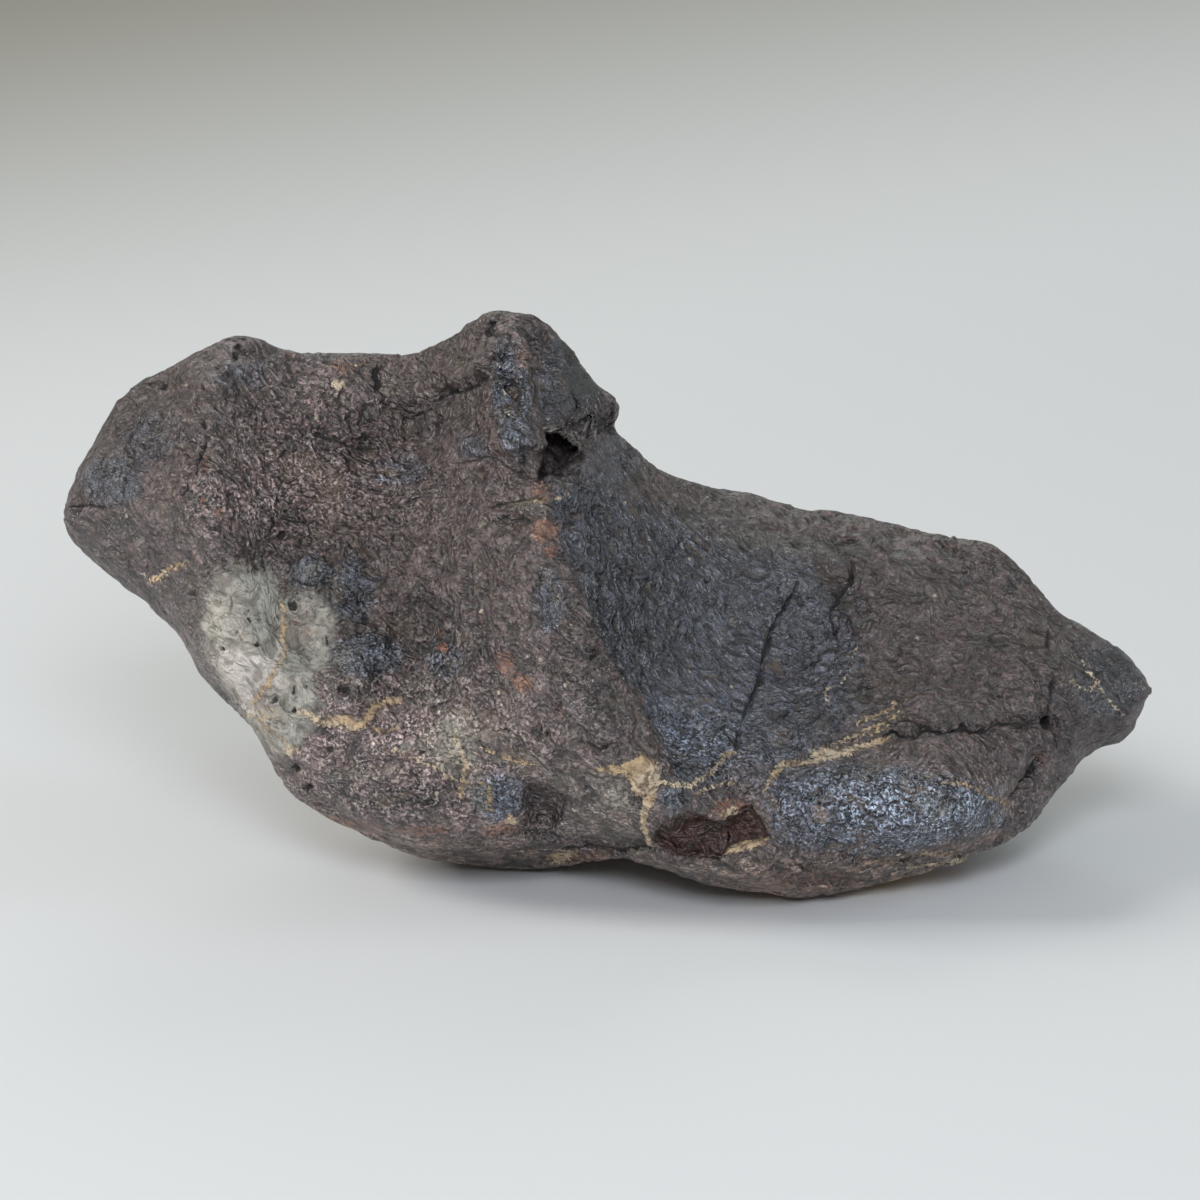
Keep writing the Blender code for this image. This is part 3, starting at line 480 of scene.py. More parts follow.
# Where the skin is smoother than the rest, and where it is more wrinkled.
SMOOTH_PATCHES = (
    ((740, 640), 9.5, 9.0, -10.0, 0.60),
    ((575, 375), 3.2, 4.6, -25.0, 0.85),
    ((900, 620), 8.0, 5.0, 0.0, 0.35),
    ((1110, 675), 3.4, 3.8, 0.0, 0.75),
    ((110, 500), 4.0, 4.0, 0.0, 0.45),
    ((465, 448), 1.8, 1.4, 0.0, 0.60),
    ((705, 835), 3.2, 1.6, 0.0, 0.60),
)
COARSE_PATCHES = (
    ((330, 470), 12.0, 8.0, 0.0, 0.60),
    ((500, 370), 4.0, 6.0, 0.0, 0.70),
    ((890, 800), 9.0, 3.4, 0.0, 0.80),
    ((430, 660), 7.0, 6.0, 0.0, 0.60),
    ((590, 650), 3.0, 7.0, 20.0, 0.60),
    ((400, 790), 9.0, 2.6, 0.0, 0.70),
    ((700, 750), 4.5, 3.0, 0.0, 0.70),
    ((560, 850), 12.0, 1.6, 0.0, 0.70),
    ((850, 870), 9.0, 1.4, 0.0, 0.60),
)

# Zones with an outline.
PALE_ZONES = {
    "grey green": ((224, 570), (240, 566), (256, 576), (272, 572), (281, 592), (284, 622), (282, 658),
                   (258, 664), (240, 658), (222, 660), (206, 648), (203, 622), (210, 596)),
    "pinkish": ((212, 655), (232, 648), (256, 652), (272, 640), (288, 650), (282, 678), (272, 704),
                (262, 716), (244, 712), (228, 692), (216, 676)),
    "right": ((278, 602), (300, 592), (322, 600), (333, 618), (332, 640), (324, 664), (314, 680),
              (312, 692), (320, 704), (300, 712), (284, 704), (272, 690), (278, 657), (280, 630)),
    "streaked foot": ((238, 704), (268, 694), (300, 702), (318, 712), (310, 730), (298, 745), (290, 754),
                      (274, 752), (266, 738), (252, 726)),
}
# The scoop's bluish skin, partly painted bluish sheen, ends sharply at the main ridge and fades out on its
# other sides.
SCOOP = ((526, 500), (540, 590), (565, 650), (600, 720), (640, 795), (700, 792), (745, 765), (766, 790),
         (826, 745), (856, 715), (858, 650), (846, 600), (800, 556), (700, 528), (640, 500), (600, 474))
SCOOP_FADE = 0.34
RIDGE_FADE = 4.0
# The bulge's bluish skin is partly painted bluish sheen.
BLUISH_SKIN_AND_SHEEN_ZONES = {
    "bulge": ((765, 792), (790, 770), (850, 758), (900, 768), (950, 774), (1000, 796), (1005, 826),
              (950, 842), (900, 854), (840, 856), (790, 846), (768, 828)),
}
OLIVE_ZONES = {
    "right of the notch": ((540, 772), (585, 764), (635, 772), (648, 800), (644, 840), (600, 834),
                           (562, 838), (566, 800)),
}
BANDED_ZONES = {
    "underside": ((280, 790), (310, 812), (350, 824), (440, 838), (520, 840), (560, 852), (640, 850),
                  (700, 861), (780, 860), (850, 864), (930, 850), (1000, 832), (1040, 830), (990, 880),
                  (800, 920), (600, 890), (400, 880), (280, 820)),
}


def zone_closeness(places, zones, patches=()):
    """How far inside the nearest zone each place is, in millimetres, and negative outside. A patch counts
    by its cover."""
    closeness = np.full(len(places), -ZONE_REACH_MM)
    for outline in zones.values():
        closeness = np.maximum(closeness, inside_outline(places, outline))
    if patches:
        closeness = np.maximum(closeness, 1.8 * (patch_cover(places, patches) - 0.45))
    return np.minimum(closeness, ZONE_REACH_MM)


def bluish_skin_and_sheen_closeness(places):
    """How far inside the bluish skin, partly painted bluish sheen, each place is, in millimetres, and
    negative outside it.
    """
    _, left, _ = line_distance(places, MAIN_RIDGE)
    scoop = np.minimum(SCOOP_FADE * inside_outline(places, SCOOP), RIDGE_FADE * left)
    return np.maximum(zone_closeness(places, BLUISH_SKIN_AND_SHEEN_ZONES, BLUISH_SKIN_AND_SHEEN_PATCHES), scoop)


def patch_cover(places, patches):
    """How much each place is covered by soft ovals, from 0 to 1."""
    cover = np.zeros(len(places))
    for middle, half_width, half_height, turn, strength in patches:
        reach = oval_distance(places, middle, half_width, half_height, turn)
        cover = np.maximum(cover, strength * (1.0 - smooth_step(0.35, 1.25, reach)))
    return cover


def skin_edges(faces):
    """Each edge once, as two vertices, and the three edges of each triangle."""
    corners = np.sort(faces[:, ((0, 1), (1, 2), (2, 0))].reshape(-1, 2), axis=1)
    count = corners.max() + 1
    keys, of_face = np.unique(corners[:, 0] * count + corners[:, 1], return_inverse=True)
    return np.stack([keys // count, keys % count], axis=1), of_face.reshape(-1, 3)


def skin_normals(points, faces):
    """The outward direction at each vertex."""
    first, second, third = (points[faces[:, corner]] for corner in range(3))
    outward = np.cross(second - first, third - first)
    corners = faces.ravel()
    normals = np.stack([np.bincount(corners, np.repeat(outward[:, axis], 3), len(points))
                        for axis in range(3)], axis=1)
    return normals / np.maximum(np.linalg.norm(normals, axis=1), 1e-12)[:, None]


def even_out(points, faces, rounds):
    """Smooths the skin without shrinking it. What rests on the floor stays there."""
    edges, _ = skin_edges(faces)
    starts, ends = edges.T
    joined = np.bincount(np.concatenate([starts, ends]), minlength=len(points))
    moving = (points[:, 2] > ON_FLOOR_MM)[:, None]
    points = points.copy()
    for _ in range(rounds):
        for share in (SMOOTH_IN, SMOOTH_OUT):
            around = np.stack([np.bincount(starts, points[ends, axis], len(points))
                               + np.bincount(ends, points[starts, axis], len(points))
                               for axis in range(3)], axis=1) / joined[:, None]
            points += share * moving * (around - points)
    return points


def split_long_edges(points, faces, wanted):
    """Each edge longer than wanted at its ends gets a vertex in its middle, which divides its triangles."""
    edges, of_face = skin_edges(faces)
    lengths = np.linalg.norm(points[edges[:, 0]] - points[edges[:, 1]], axis=1)
    cut = lengths > wanted[edges].mean(axis=1)
    middles = np.full(len(edges), -1)
    middles[cut] = len(points) + np.arange(cut.sum())
    points = np.concatenate([points, points[edges[cut]].mean(axis=1)])
    # Each triangle is turned so that an uncut edge comes last, and a lone cut edge comes first.
    cuts = cut[of_face]
    turn = np.zeros(len(faces), int)
    one, two = cuts.sum(axis=1) == 1, cuts.sum(axis=1) == 2
    turn[one] = np.argmax(cuts[one], axis=1)
    turn[two] = (np.argmin(cuts[two], axis=1) + 1) % 3
    order = (np.arange(3) + turn[:, None]) % 3
    a, b, c = np.take_along_axis(faces, order, axis=1).T
    ab, bc, ca = np.take_along_axis(middles[of_face], order, axis=1).T
    three, none = cuts.all(axis=1), ~cuts.any(axis=1)
    parts = [faces[none]]
    for chosen, triangles in (
            (one, ((a, ab, c), (ab, b, c))),
            (two, ((ab, b, bc), (a, ab, bc), (a, bc, c))),
            (three, ((a, ab, ca), (ab, b, bc), (ca, bc, c), (ab, bc, ca)))):
        parts += [np.stack(triangle, axis=1)[chosen] for triangle in triangles]
    return points, np.concatenate(parts)


def fine_lines():
    """Every line in the picture that the skin is divided finely along."""
    return ([line for line, _, _ in CRACKS.values()] + [line for line, _, _ in CREASES.values()]
            + [line for line, _ in CREAM_LINES.values()]
            + [outline + (outline[0],) for outline, _, _ in SUNKEN.values()]
            + [line for line, _, _ in LEDGES.values()])


def fine_line_map():
    """For a grid over the picture, how far the nearest crack, pit, fold or crust is, in millimetres."""
    steps = np.arange(0, PICTURE_PIXELS + MAP_STEP_PIXELS, MAP_STEP_PIXELS, dtype=float)
    places = np.stack(np.meshgrid(steps, steps, indexing="ij"), axis=-1).reshape(-1, 2)
    nearest = np.full(len(places), np.inf)
    for line in fine_lines():
        nearest = np.minimum(nearest, line_distance(places, line)[0])
    for middle, half_width, half_height, _, _ in PITS.values():
        reach = oval_distance(places, middle, half_width, half_height, 0.0)
        nearest = np.minimum(nearest, (reach - 1.0) * half_width)
    return nearest.reshape(len(steps), len(steps))


def wanted_edges(points, faces, nearest_map):
    """How long the edges at each vertex may be."""
    column, row = np.rint(picture_places(points) / MAP_STEP_PIXELS).astype(int).T
    top = len(nearest_map) - 1
    nearest = nearest_map[np.clip(column, 0, top), np.clip(row, 0, top)]
    facing = skin_normals(points, faces) @ TOWARD_CAMERA
    wanted = FAR_EDGE_MM + (FRONT_EDGE_MM - FAR_EDGE_MM) * smooth_step(-0.35, -0.05, facing)
    fine = (1.0 - smooth_step(FINE_REACH_MM, 3.0 * FINE_REACH_MM, nearest)) * smooth_step(-0.1, 0.1, facing)
    return wanted + (FINE_EDGE_MM - wanted) * fine


def fine_skin():
    """The frame's solid as points in millimetres and triangles, divided finely and evened."""
    merged = bmesh.new()
    merged.from_mesh(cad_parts["stone"].data)
    bmesh.ops.remove_doubles(merged, verts=merged.verts, dist=MERGE_WITHIN)
    bmesh.ops.triangulate(merged, faces=merged.faces)
    points = np.array([vertex.co for vertex in merged.verts]) / MM
    faces = np.array([[vertex.index for vertex in face.verts] for face in merged.faces])
    merged.free()
    for length, rounds in FIRST_PASSES:
        points, faces = split_long_edges(points, faces, np.full(len(points), length))
        points, faces = split_long_edges(points, faces, np.full(len(points), length))
        points = even_out(points, faces, rounds)
    nearest_map = fine_line_map()
    for _ in range(FINE_PASSES):
        points, faces = split_long_edges(points, faces, wanted_edges(points, faces, nearest_map))
        points = even_out(points, faces, 1)
    return points, faces


def move_along(points, normals, heights):
    """The skin after each point has moved outwards by its height. The flats stay at the floor."""
    moving = points[:, 2] > ON_FLOOR_MM
    moved = points + normals * (heights * moving)[:, None]
    moved[moving, 2] = np.maximum(moved[moving, 2], ON_FLOOR_MM)
    return moved


def shape_ledges_and_folds(points, faces):
    """The forms a millimetre and more wide: ledges, folds, and the spall, the hole and the notch."""
    normals = skin_normals(points, faces)
    places = picture_places(points)
    facing = smooth_step(0.0, 0.3, normals @ TOWARD_CAMERA)
    waver = noise_at(points, 1.3, 1.0)
    heights = np.zeros(len(points))
    for line, drop, reach in LEDGES.values():
        nearest, left, share = line_distance(places, line)
        side = smooth_step(-0.25, 0.25, left + 0.30 * waver)
        ends = smooth_step(0.0, 0.12, share) * (1.0 - smooth_step(0.88, 1.0, share))
        heights -= drop * side * ends * (1.0 - smooth_step(0.2 * reach, reach, nearest))
    for line, width, height in FOLDS.values():
        nearest, _, share = line_distance(places, line)
        ends = smooth_step(0.0, 0.15, share) * (1.0 - smooth_step(0.85, 1.0, share))
        bend = width * (1.0 + 0.25 * waver)
        heights += height * (0.35 + 0.65 * ends) * np.exp(-(nearest / bend) ** 2 * 1.6)
    for line, width, depth in CREASES.values():
        nearest, _, share = line_distance(places, line)
        ends = smooth_step(0.0, 0.2, share) * (1.0 - smooth_step(0.8, 1.0, share))
        heights -= depth * (0.2 + 0.8 * ends) / (1.0 + (nearest / (0.5 * width)) ** 2)
    for outline, depth, wall in SUNKEN.values():
        inside = inside_outline(places, outline) + 0.18 * waver
        heights -= depth * smooth_step(-0.3 * wall, wall, inside)
    return move_along(points, normals, heights * facing)


def cut_cracks_and_pits(points, faces):
    """Opens the cracks and pits. For each point it also gives how far to one side of the nearest crack it is
    and how far the crack gapes there, and how far inside a pit it is, all in millimetres."""
    normals = skin_normals(points, faces)
    places = picture_places(points)
    facing = smooth_step(0.0, 0.25, normals @ TOWARD_CAMERA)
    jitter = wandering(points, 0.45, (2.0, 3.0))
    widen = 1.0 + 0.5 * noise_at(points, 0.9, 4.0)
    depths = np.zeros(len(points))
    side = np.full(len(points), LARGE_MM)
    gape = np.full(len(points), -1.0)
    inside = np.full(len(points), -LARGE_MM)
    lines = list(CRACKS.values())
    lines += [(line, CREASE_LINE_MM, CREASE_LINE_DEPTH_MM) for line, _, _ in CREASES.values()]
    for line, width, depth in lines:
        nearest, left, share = line_distance(places + CRACK_WANDER_MM * jitter, line)
        ends = smooth_step(0.0, 0.10, share) * (1.0 - smooth_step(0.85, 1.0, share))
        gap = 0.5 * width * widen * (0.25 + 0.75 * ends)
        reach = np.maximum(gap, CRACK_WALL_MM)
        wall = 1.0 - smooth_step(0.3, 1.6, nearest / reach)
        depths = np.maximum(depths, depth * (0.4 + 0.6 * ends) * wall)
        closer = nearest < np.abs(side)
        side[closer] = left[closer]
        gape[closer] = np.where(nearest < CRACK_REACH_MM, gap, -1.0)[closer]
    for middle, half_width, half_height, turn, depth in PITS.values():
        reach = oval_distance(places + PIT_WANDER_MM * jitter, middle, half_width, half_height, turn)
        depths = np.maximum(depths, depth * (1.0 - smooth_step(0.3, 1.3, reach)))
        inside = np.maximum(inside, (0.8 - reach) * min(half_width, half_height))
    return (move_along(points, normals, -depths * facing), side, gape - (1.0 - facing),
            np.maximum(inside, -1.0) - (1.0 - facing))


def crust_closeness(places, points):
    """How far inside a crust's line or patch each point is, in millimetres, and negative outside."""
    wander = wandering(points, 0.9, (5.0, 6.0))
    closeness = np.full(len(points), -LARGE_MM)
    for line, half_width in CREAM_LINES.values():
        nearest, _, share = line_distance(places + 0.16 * wander, line)
        ends = smooth_step(0.0, 0.08, share) * (1.0 - smooth_step(0.92, 1.0, share))
        closeness = np.maximum(closeness, half_width * (0.3 + 0.7 * ends) - nearest)
    cover = patch_cover(places + 0.25 * wander, CREAM_PATCHES)
    return np.maximum(closeness, cover - 0.55)


def painted_light_and_shade_at(places):
    """How much lighter or darker than the rest the rock is painted: painted light and sheen, and painted
    shade.
    """
    painted_light_and_shade = np.zeros(len(places))
    for middle, half_width, half_height, turn, amount in PAINTED_LIGHT_AND_SHADE_PATCHES:
        reach = oval_distance(places, middle, half_width, half_height, turn)
        painted_light_and_shade += amount * np.exp(-reach ** 2)
    return painted_light_and_shade


def stone_mesh():
    """The worked skin, with what the material and the fine relief read at each vertex."""
    points, faces = fine_skin()
    points = shape_ledges_and_folds(points, faces)
    points, side, gape, hollow = cut_cracks_and_pits(points, faces)
    normals = skin_normals(points, faces)
    places = picture_places(points)
    seen = smooth_step(-0.05, 0.22, normals @ TOWARD_CAMERA)
    elsewhere = 1.0 - seen
    rim = np.exp(-(normals @ TOWARD_CAMERA / RIM_REACH) ** 2)
    drift, pale_drift, rust_drift, blue_drift = (noise_at(points, size, seed) for size, seed in DRIFTS)
    low = 1.0 - smooth_step(LOW_MM, HIGH_MM, points[:, 2])
    wander = ZONE_WANDER_MM * wandering(points, 1.6, (11.0, 12.0))

    def where_seen(in_view, out_of_view):
        return np.where(seen > 0.5, in_view, out_of_view)

    pinkish = zone_closeness(places + wander, {"pinkish": PALE_ZONES["pinkish"]})
    olive = zone_closeness(places + wander, OLIVE_ZONES, OLIVE_PATCHES)
    coarse = 0.5 + 0.5 * seen * (patch_cover(places, COARSE_PATCHES) - patch_cover(places, SMOOTH_PATCHES))
    masks = {
        "crack side": side,
        "crack gape": gape,
        "hollow": hollow,
        "crust": where_seen(crust_closeness(places, points),
                            -0.45 + 0.9 * smooth_step(0.30, 0.75, drift + 0.35 * low)),
        "pale": where_seen(zone_closeness(places + wander, PALE_ZONES), pale_drift - 0.55),
        "veil": (patch_cover(places + wander, PALE_PATCHES) * seen
                 + elsewhere * smooth_step(0.2, 0.6, pale_drift)),
        "pinkish": pinkish * seen,
        "rust": (patch_cover(places, RUST_PATCHES) * seen
                 + elsewhere * smooth_step(0.2, 0.8, rust_drift + 0.3 * low)),
        # Bluish skin, partly painted bluish sheen.
        "blue": where_seen(bluish_skin_and_sheen_closeness(places + 0.4 * wander), 2.0 * blue_drift),
        "olive": where_seen(olive, drift - 0.3),
        "banded": where_seen(zone_closeness(places + wander, BANDED_ZONES), 1.5 * low - 1.0),
        # Painted shade in recesses and on faces turned from the light.
        "painted shade": patch_cover(places, PAINTED_SHADE_PATCHES) * seen,
        # Painted light and shade: where the rock is painted lighter or darker as the light falls on it.
        "painted_light_and_shade": painted_light_and_shade_at(places) * seen,
        "spalled": smooth_step(-0.1, 0.3, inside_outline(places, SPALL)) * seen,
        "coarse": np.clip(coarse, 0.0, 1.0) * (1.0 - 0.5 * rim),
        "free": smooth_step(ON_FLOOR_MM, 0.8, points[:, 2]),
    }
    mesh = bpy.data.meshes.new("stone skin")
    mesh.from_pydata(points * MM, [], faces)
    for name, values in masks.items():
        mesh.attributes.new(name, "FLOAT", "POINT").data.foreach_set("value", values.astype(np.float32))
    mesh.shade_smooth()
    return mesh


class Nodes:
    """Adds nodes to a tree and links them, so that a tree reads from its inputs to its output."""

    def __init__(self, tree):
        self.tree = tree

    def add(self, kind, inputs=(), **settings):
        node = self.tree.nodes.new(kind)
        for name, value in settings.items():
            setattr(node, name, value)
        for name, value in dict(inputs).items():
            self.feed(node.inputs[name], value)
        return node

    def feed(self, socket, value):
        if isinstance(value, bpy.types.NodeSocket):
            self.tree.links.new(value, socket)
        else:
            socket.default_value = value

    def math(self, operation, first, second=0.0):
        return self.add("ShaderNodeMath", {0: first, 1: second}, operation=operation).outputs[0]

    def plus(self, first, second):
        return self.math("ADD", first, second)

    def minus(self, first, second):
        return self.math("SUBTRACT", first, second)

    def times(self, first, second):
        return self.math("MULTIPLY", first, second)

    def larger(self, first, second):
        return self.math("MAXIMUM", first, second)

    def vector(self, operation, first, second):
        node = self.add("ShaderNodeVectorMath", {0: first}, operation=operation)
        if operation == "SCALE":
            self.feed(node.inputs["Scale"], second)
        else:
            self.feed(node.inputs[1], second)
        return node.outputs[0]

    def mix(self, share, first, second, blend="MIX"):
        node = self.add("ShaderNodeMix", {0: share, 6: first, 7: second}, data_type="RGBA", blend_type=blend)
        return node.outputs[2]

    def between(self, value, start, end, low=0.0, high=1.0):
        given = {"Value": value, "From Min": start, "From Max": end, "To Min": low, "To Max": high}
        return self.add("ShaderNodeMapRange", given, interpolation_type="SMOOTHSTEP").outputs["Result"]

    def noise(self, vector, scale, detail, roughness, distortion=0.0):
        node = self.add("ShaderNodeTexNoise", {"Vector": vector, "Scale": scale, "Detail": detail,
                                               "Roughness": roughness, "Distortion": distortion})
        return node.outputs[0]

    def ridges(self, vector, size, detail, roughness, distortion):
        """Curled ridges of about this size with smoother skin between them: from about 0.2 in a valley, past
        RIDGE_MIDDLE, to 1.5 on a crest."""
        node = self.add("ShaderNodeTexNoise", {"Vector": vector}, noise_type="RIDGED_MULTIFRACTAL",
                        normalize=False)
        self.feed(node.inputs["Scale"], self.math("DIVIDE", 1.0, size))
        for name, value in (("Detail", detail), ("Roughness", roughness), ("Lacunarity", 2.1),
                            ("Offset", 0.9), ("Gain", 1.6), ("Distortion", distortion)):
            node.inputs[name].default_value = value
        return node.outputs[0]

    def store(self, geometry, name, value):
        """The geometry with a value kept at each of its points."""
        given = {"Geometry": geometry, "Name": name, "Value": value}
        node = self.add("GeometryNodeStoreNamedAttribute", given, data_type="FLOAT", domain="POINT")
        return node.outputs["Geometry"]

    def flow(self, place):
        """The place turned and stretched, so that what is drawn from it runs the way of the rock's grain."""
        turned = self.add("ShaderNodeVectorRotate", {"Vector": place, "Angle": FLOW_ANGLE},
                          rotation_type="Y_AXIS").outputs[0]
        return self.vector("MULTIPLY", turned, FLOW_STRETCH)

    def attribute(self, name):
        return self.add("ShaderNodeAttribute", attribute_name=name).outputs["Fac"]

    def flakes(self, vector, size):
        """Curled flakes of about this size, each tilted its own way: their height, from about -0.5 to 0.5,
        and a random share for each."""
        wobble = self.add("ShaderNodeTexNoise", {"Vector": vector, "Scale": 0.9 / size, "Detail": 2.0})
        shift = self.vector("SUBTRACT", wobble.outputs["Color"], (0.5, 0.5, 0.5))
        bent = self.vector("ADD", vector, self.vector("SCALE", shift, FLAKE_WARP * size))
        cell = self.add("ShaderNodeTexVoronoi", {"Vector": bent, "Scale": 1.0 / size})
        tilt = self.vector("SUBTRACT", cell.outputs["Color"], (0.5, 0.5, 0.5))
        reach = self.vector("SUBTRACT", bent, cell.outputs["Position"])
        lean = self.add("ShaderNodeVectorMath", {0: tilt, 1: reach}, operation="DOT_PRODUCT").outputs[1]
        height = self.minus(self.times(lean, 1.6 / size), self.times(cell.outputs["Distance"], 0.45))
        chance = self.add("ShaderNodeSeparateXYZ", {0: cell.outputs["Color"]}).outputs[0]
        return self.plus(height, 0.2), chance


def new_group(kind, name, inputs, outputs):
    """A node group with named sockets. Gives its nodes, its inputs by name and its output node."""
    tree = bpy.data.node_groups.new(name, kind)
    for title, (socket, default) in inputs.items():
        item = tree.interface.new_socket(title, in_out="INPUT", socket_type=socket)
        if default is not None:
            item.default_value = default
    for title, socket in outputs.items():
        tree.interface.new_socket(title, in_out="OUTPUT", socket_type=socket)
    nodes = Nodes(tree)
    return nodes, nodes.add("NodeGroupInput").outputs, nodes.add("NodeGroupOutput").inputs


def relief_tree():
    """Wrinkles, grain and pores over the whole skin, and salt grains that cling to the crusts."""
    nodes, given, result = new_group(
        "GeometryNodeTree", "weathered relief",
        {"Geometry": ("NodeSocketGeometry", None),
         "Wrinkle Size": ("NodeSocketFloat", 1.6), "Wrinkle Height": ("NodeSocketFloat", 0.3),
         "Flake Height": ("NodeSocketFloat", 0.3),
         "Pore Spacing": ("NodeSocketFloat", 1.6), "Pore Depth": ("NodeSocketFloat", 0.25),
         "Grains per Area": ("NodeSocketFloat", 1.0), "Salt Grain Size": ("NodeSocketFloat", 0.1),
         "Seed": ("NodeSocketInt", 7), "Material": ("NodeSocketMaterial", None)},
        {"Geometry": "NodeSocketGeometry"})
    position = nodes.add("GeometryNodeInputPosition").outputs[0]
    place = nodes.vector("SCALE", position, 1.0 / MM)

    def read(name):
        node = nodes.add("GeometryNodeInputNamedAttribute", {"Name": name}, data_type="FLOAT")
        return node.outputs["Attribute"]

    coarse = read("coarse")
    along = nodes.flow(place)
    wrinkles = nodes.ridges(along, given["Wrinkle Size"], 2.0, 0.5, 0.9)
    wrinkles = nodes.times(nodes.minus(wrinkles, RIDGE_MIDDLE), given["Wrinkle Height"])
    large, _ = nodes.flakes(along, LARGE_FLAKE_MM)
    small, _ = nodes.flakes(along, SMALL_FLAKE_MM)
    flaked = nodes.plus(nodes.times(large, given["Flake Height"]),
                        nodes.times(small, nodes.times(given["Flake Height"], 0.5)))
    height = nodes.times(wrinkles, coarse)
    height = nodes.plus(height, nodes.times(flaked, nodes.plus(coarse, 0.25)))

    pore_place = nodes.vector("ADD", place, (51.0, 13.0, 29.0))
    pore_scale = nodes.math("DIVIDE", 1.0, given["Pore Spacing"])
    cell = nodes.add("ShaderNodeTexVoronoi", {"Vector": pore_place, "Scale": pore_scale})
    chance = nodes.add("ShaderNodeSeparateXYZ", {0: cell.outputs["Color"]}).outputs[0]
    rim = nodes.between(chance, WITHOUT_PORE, 1.0, 0.0, WIDEST_PORE)
    share = nodes.math("DIVIDE", cell.outputs["Distance"], nodes.larger(rim, 0.001))
    pore = nodes.between(share, 1.0, 0.3)
    height = nodes.minus(height, nodes.times(pore, given["Pore Depth"]))
    height = nodes.times(height, nodes.between(read("hollow"), 0.05, -0.15))
    height = nodes.times(height, read("free"))

    geometry = nodes.store(nodes.store(given["Geometry"], "relief", height), "pore", pore)
    normal = nodes.add("GeometryNodeInputNormal").outputs[0]
    offset = nodes.vector("SCALE", normal, nodes.times(height, MM))
    skin = nodes.add("GeometryNodeSetPosition", {"Geometry": geometry, "Offset": offset}).outputs[0]

    salty = nodes.between(read("crust"), 0.0, 0.3)
    salty = nodes.times(salty, read("free"))
    scatter = nodes.add("GeometryNodeDistributePointsOnFaces",
                        {"Mesh": skin, "Density": nodes.times(salty, given["Grains per Area"]),
                         "Seed": given["Seed"]})
    nugget = nodes.add("GeometryNodeMeshIcoSphere", {"Radius": 1.0, "Subdivisions": 1}).outputs["Mesh"]
    size = nodes.times(given["Salt Grain Size"], MM)
    stretch = nodes.add("FunctionNodeRandomValue", {"Min": (0.5, 0.5, 0.3), "Max": (1.5, 1.2, 0.8),
                                                    "Seed": given["Seed"]}, data_type="FLOAT_VECTOR")
    placed = nodes.add("GeometryNodeInstanceOnPoints",
                       {"Points": scatter.outputs["Points"], "Instance": nugget,
                        "Rotation": scatter.outputs["Rotation"],
                        "Scale": nodes.vector("SCALE", stretch.outputs[0], size)})
    grains = nodes.add("GeometryNodeRealizeInstances", {0: placed.outputs[0]}).outputs[0]
    for name, value in (("crust", 1.0), ("free", 1.0), ("hollow", -1.0), ("crack gape", -1.0)):
        grains = nodes.store(grains, name, value)
    joined = nodes.add("GeometryNodeJoinGeometry")
    for part in (grains, skin):
        nodes.tree.links.new(part, joined.inputs[0])
    whole = nodes.add("GeometryNodeRealizeInstances", {0: joined.outputs[0]}).outputs[0]
    finish = nodes.add("GeometryNodeSetMaterial", {"Geometry": whole, "Material": given["Material"]})
    nodes.feed(result["Geometry"], finish.outputs[0])
    return nodes.tree


def weathered(mesh, sizes, material):
    """The mesh after the relief tree has worked it, as a plain mesh."""
    tree = relief_tree()
    rough = bpy.data.objects.new("rough stone", mesh)
    bpy.context.scene.collection.objects.link(rough)
    modifier = rough.modifiers.new("weathering", "NODES")
    modifier.node_group = tree
    sockets = {item.name: item.identifier for item in tree.interface.items_tree if item.in_out == "INPUT"}
    for name, value in sizes.items():
        modifier[sockets[name]] = value
    modifier[sockets["Material"]] = material
    bpy.context.view_layer.update()
    worked = rough.evaluated_get(bpy.context.evaluated_depsgraph_get())
    finished = bpy.data.meshes.new_from_object(worked)
    bpy.data.objects.remove(rough)
    return finished


# The colours of the stone and the paper, on a scale from 0 to 255. Some of them are painted light, shade,
# glints and sheen.
TONES = {
    "light brown": (104, 84, 81),
    "dark brown": (80, 64, 65),
    "light flake": (132, 112, 108),
    "dark flake": (58, 47, 47),
    "deep blue grey": (54, 57, 66),
    "pale blue grey": (104, 111, 128),
    "olive": (124, 118, 102),
    "dark band": (74, 58, 52),
    "light band": (166, 140, 122),
    "painted recess shade": (46, 40, 41),
    "speckle and flake shade": (52, 50, 50),
    "speckle and flake highlight": (206, 206, 208),
    "crease_shade_and_dirt": (28, 22, 22),
    "crease_shade_and_dust": (84, 70, 60),
    "painted crest glint": (170, 156, 156),
    "pale fleck": (206, 190, 168),
    "dark fleck": (24, 20, 20),
    "painted brown sheen": (87, 79, 77),
    "painted blue sheen": (80, 88, 98),
    "film": (180, 178, 164),
    "grey green patch": (184, 182, 172),
    "cream patch": (206, 197, 184),
    "pinkish patch": (234, 224, 216),
    "stain": (100, 92, 82),
    "patch crease shade and grime": (88, 78, 66),
    "dark rust": (98, 60, 48),
    "light rust": (180, 124, 92),
    "dark fresh face": (40, 20, 16),
    "light fresh face": (88, 50, 40),
    "cream salt": (236, 214, 184),
    "tan salt": (220, 188, 146),
    "dirty salt": (140, 116, 90),
    "painted opening shade": (20, 17, 18),
    "paper": (224, 225, 227),
    "shaded paper": (142, 138, 127),
}


def tone(name):
    """One of TONES as the shader wants it."""
    channels = [channel / 255.0 for channel in TONES[name]]
    return tuple(c / 12.92 if c <= 0.04045 else ((c + 0.055) / 1.055) ** 2.4 for c in channels) + (1.0,)


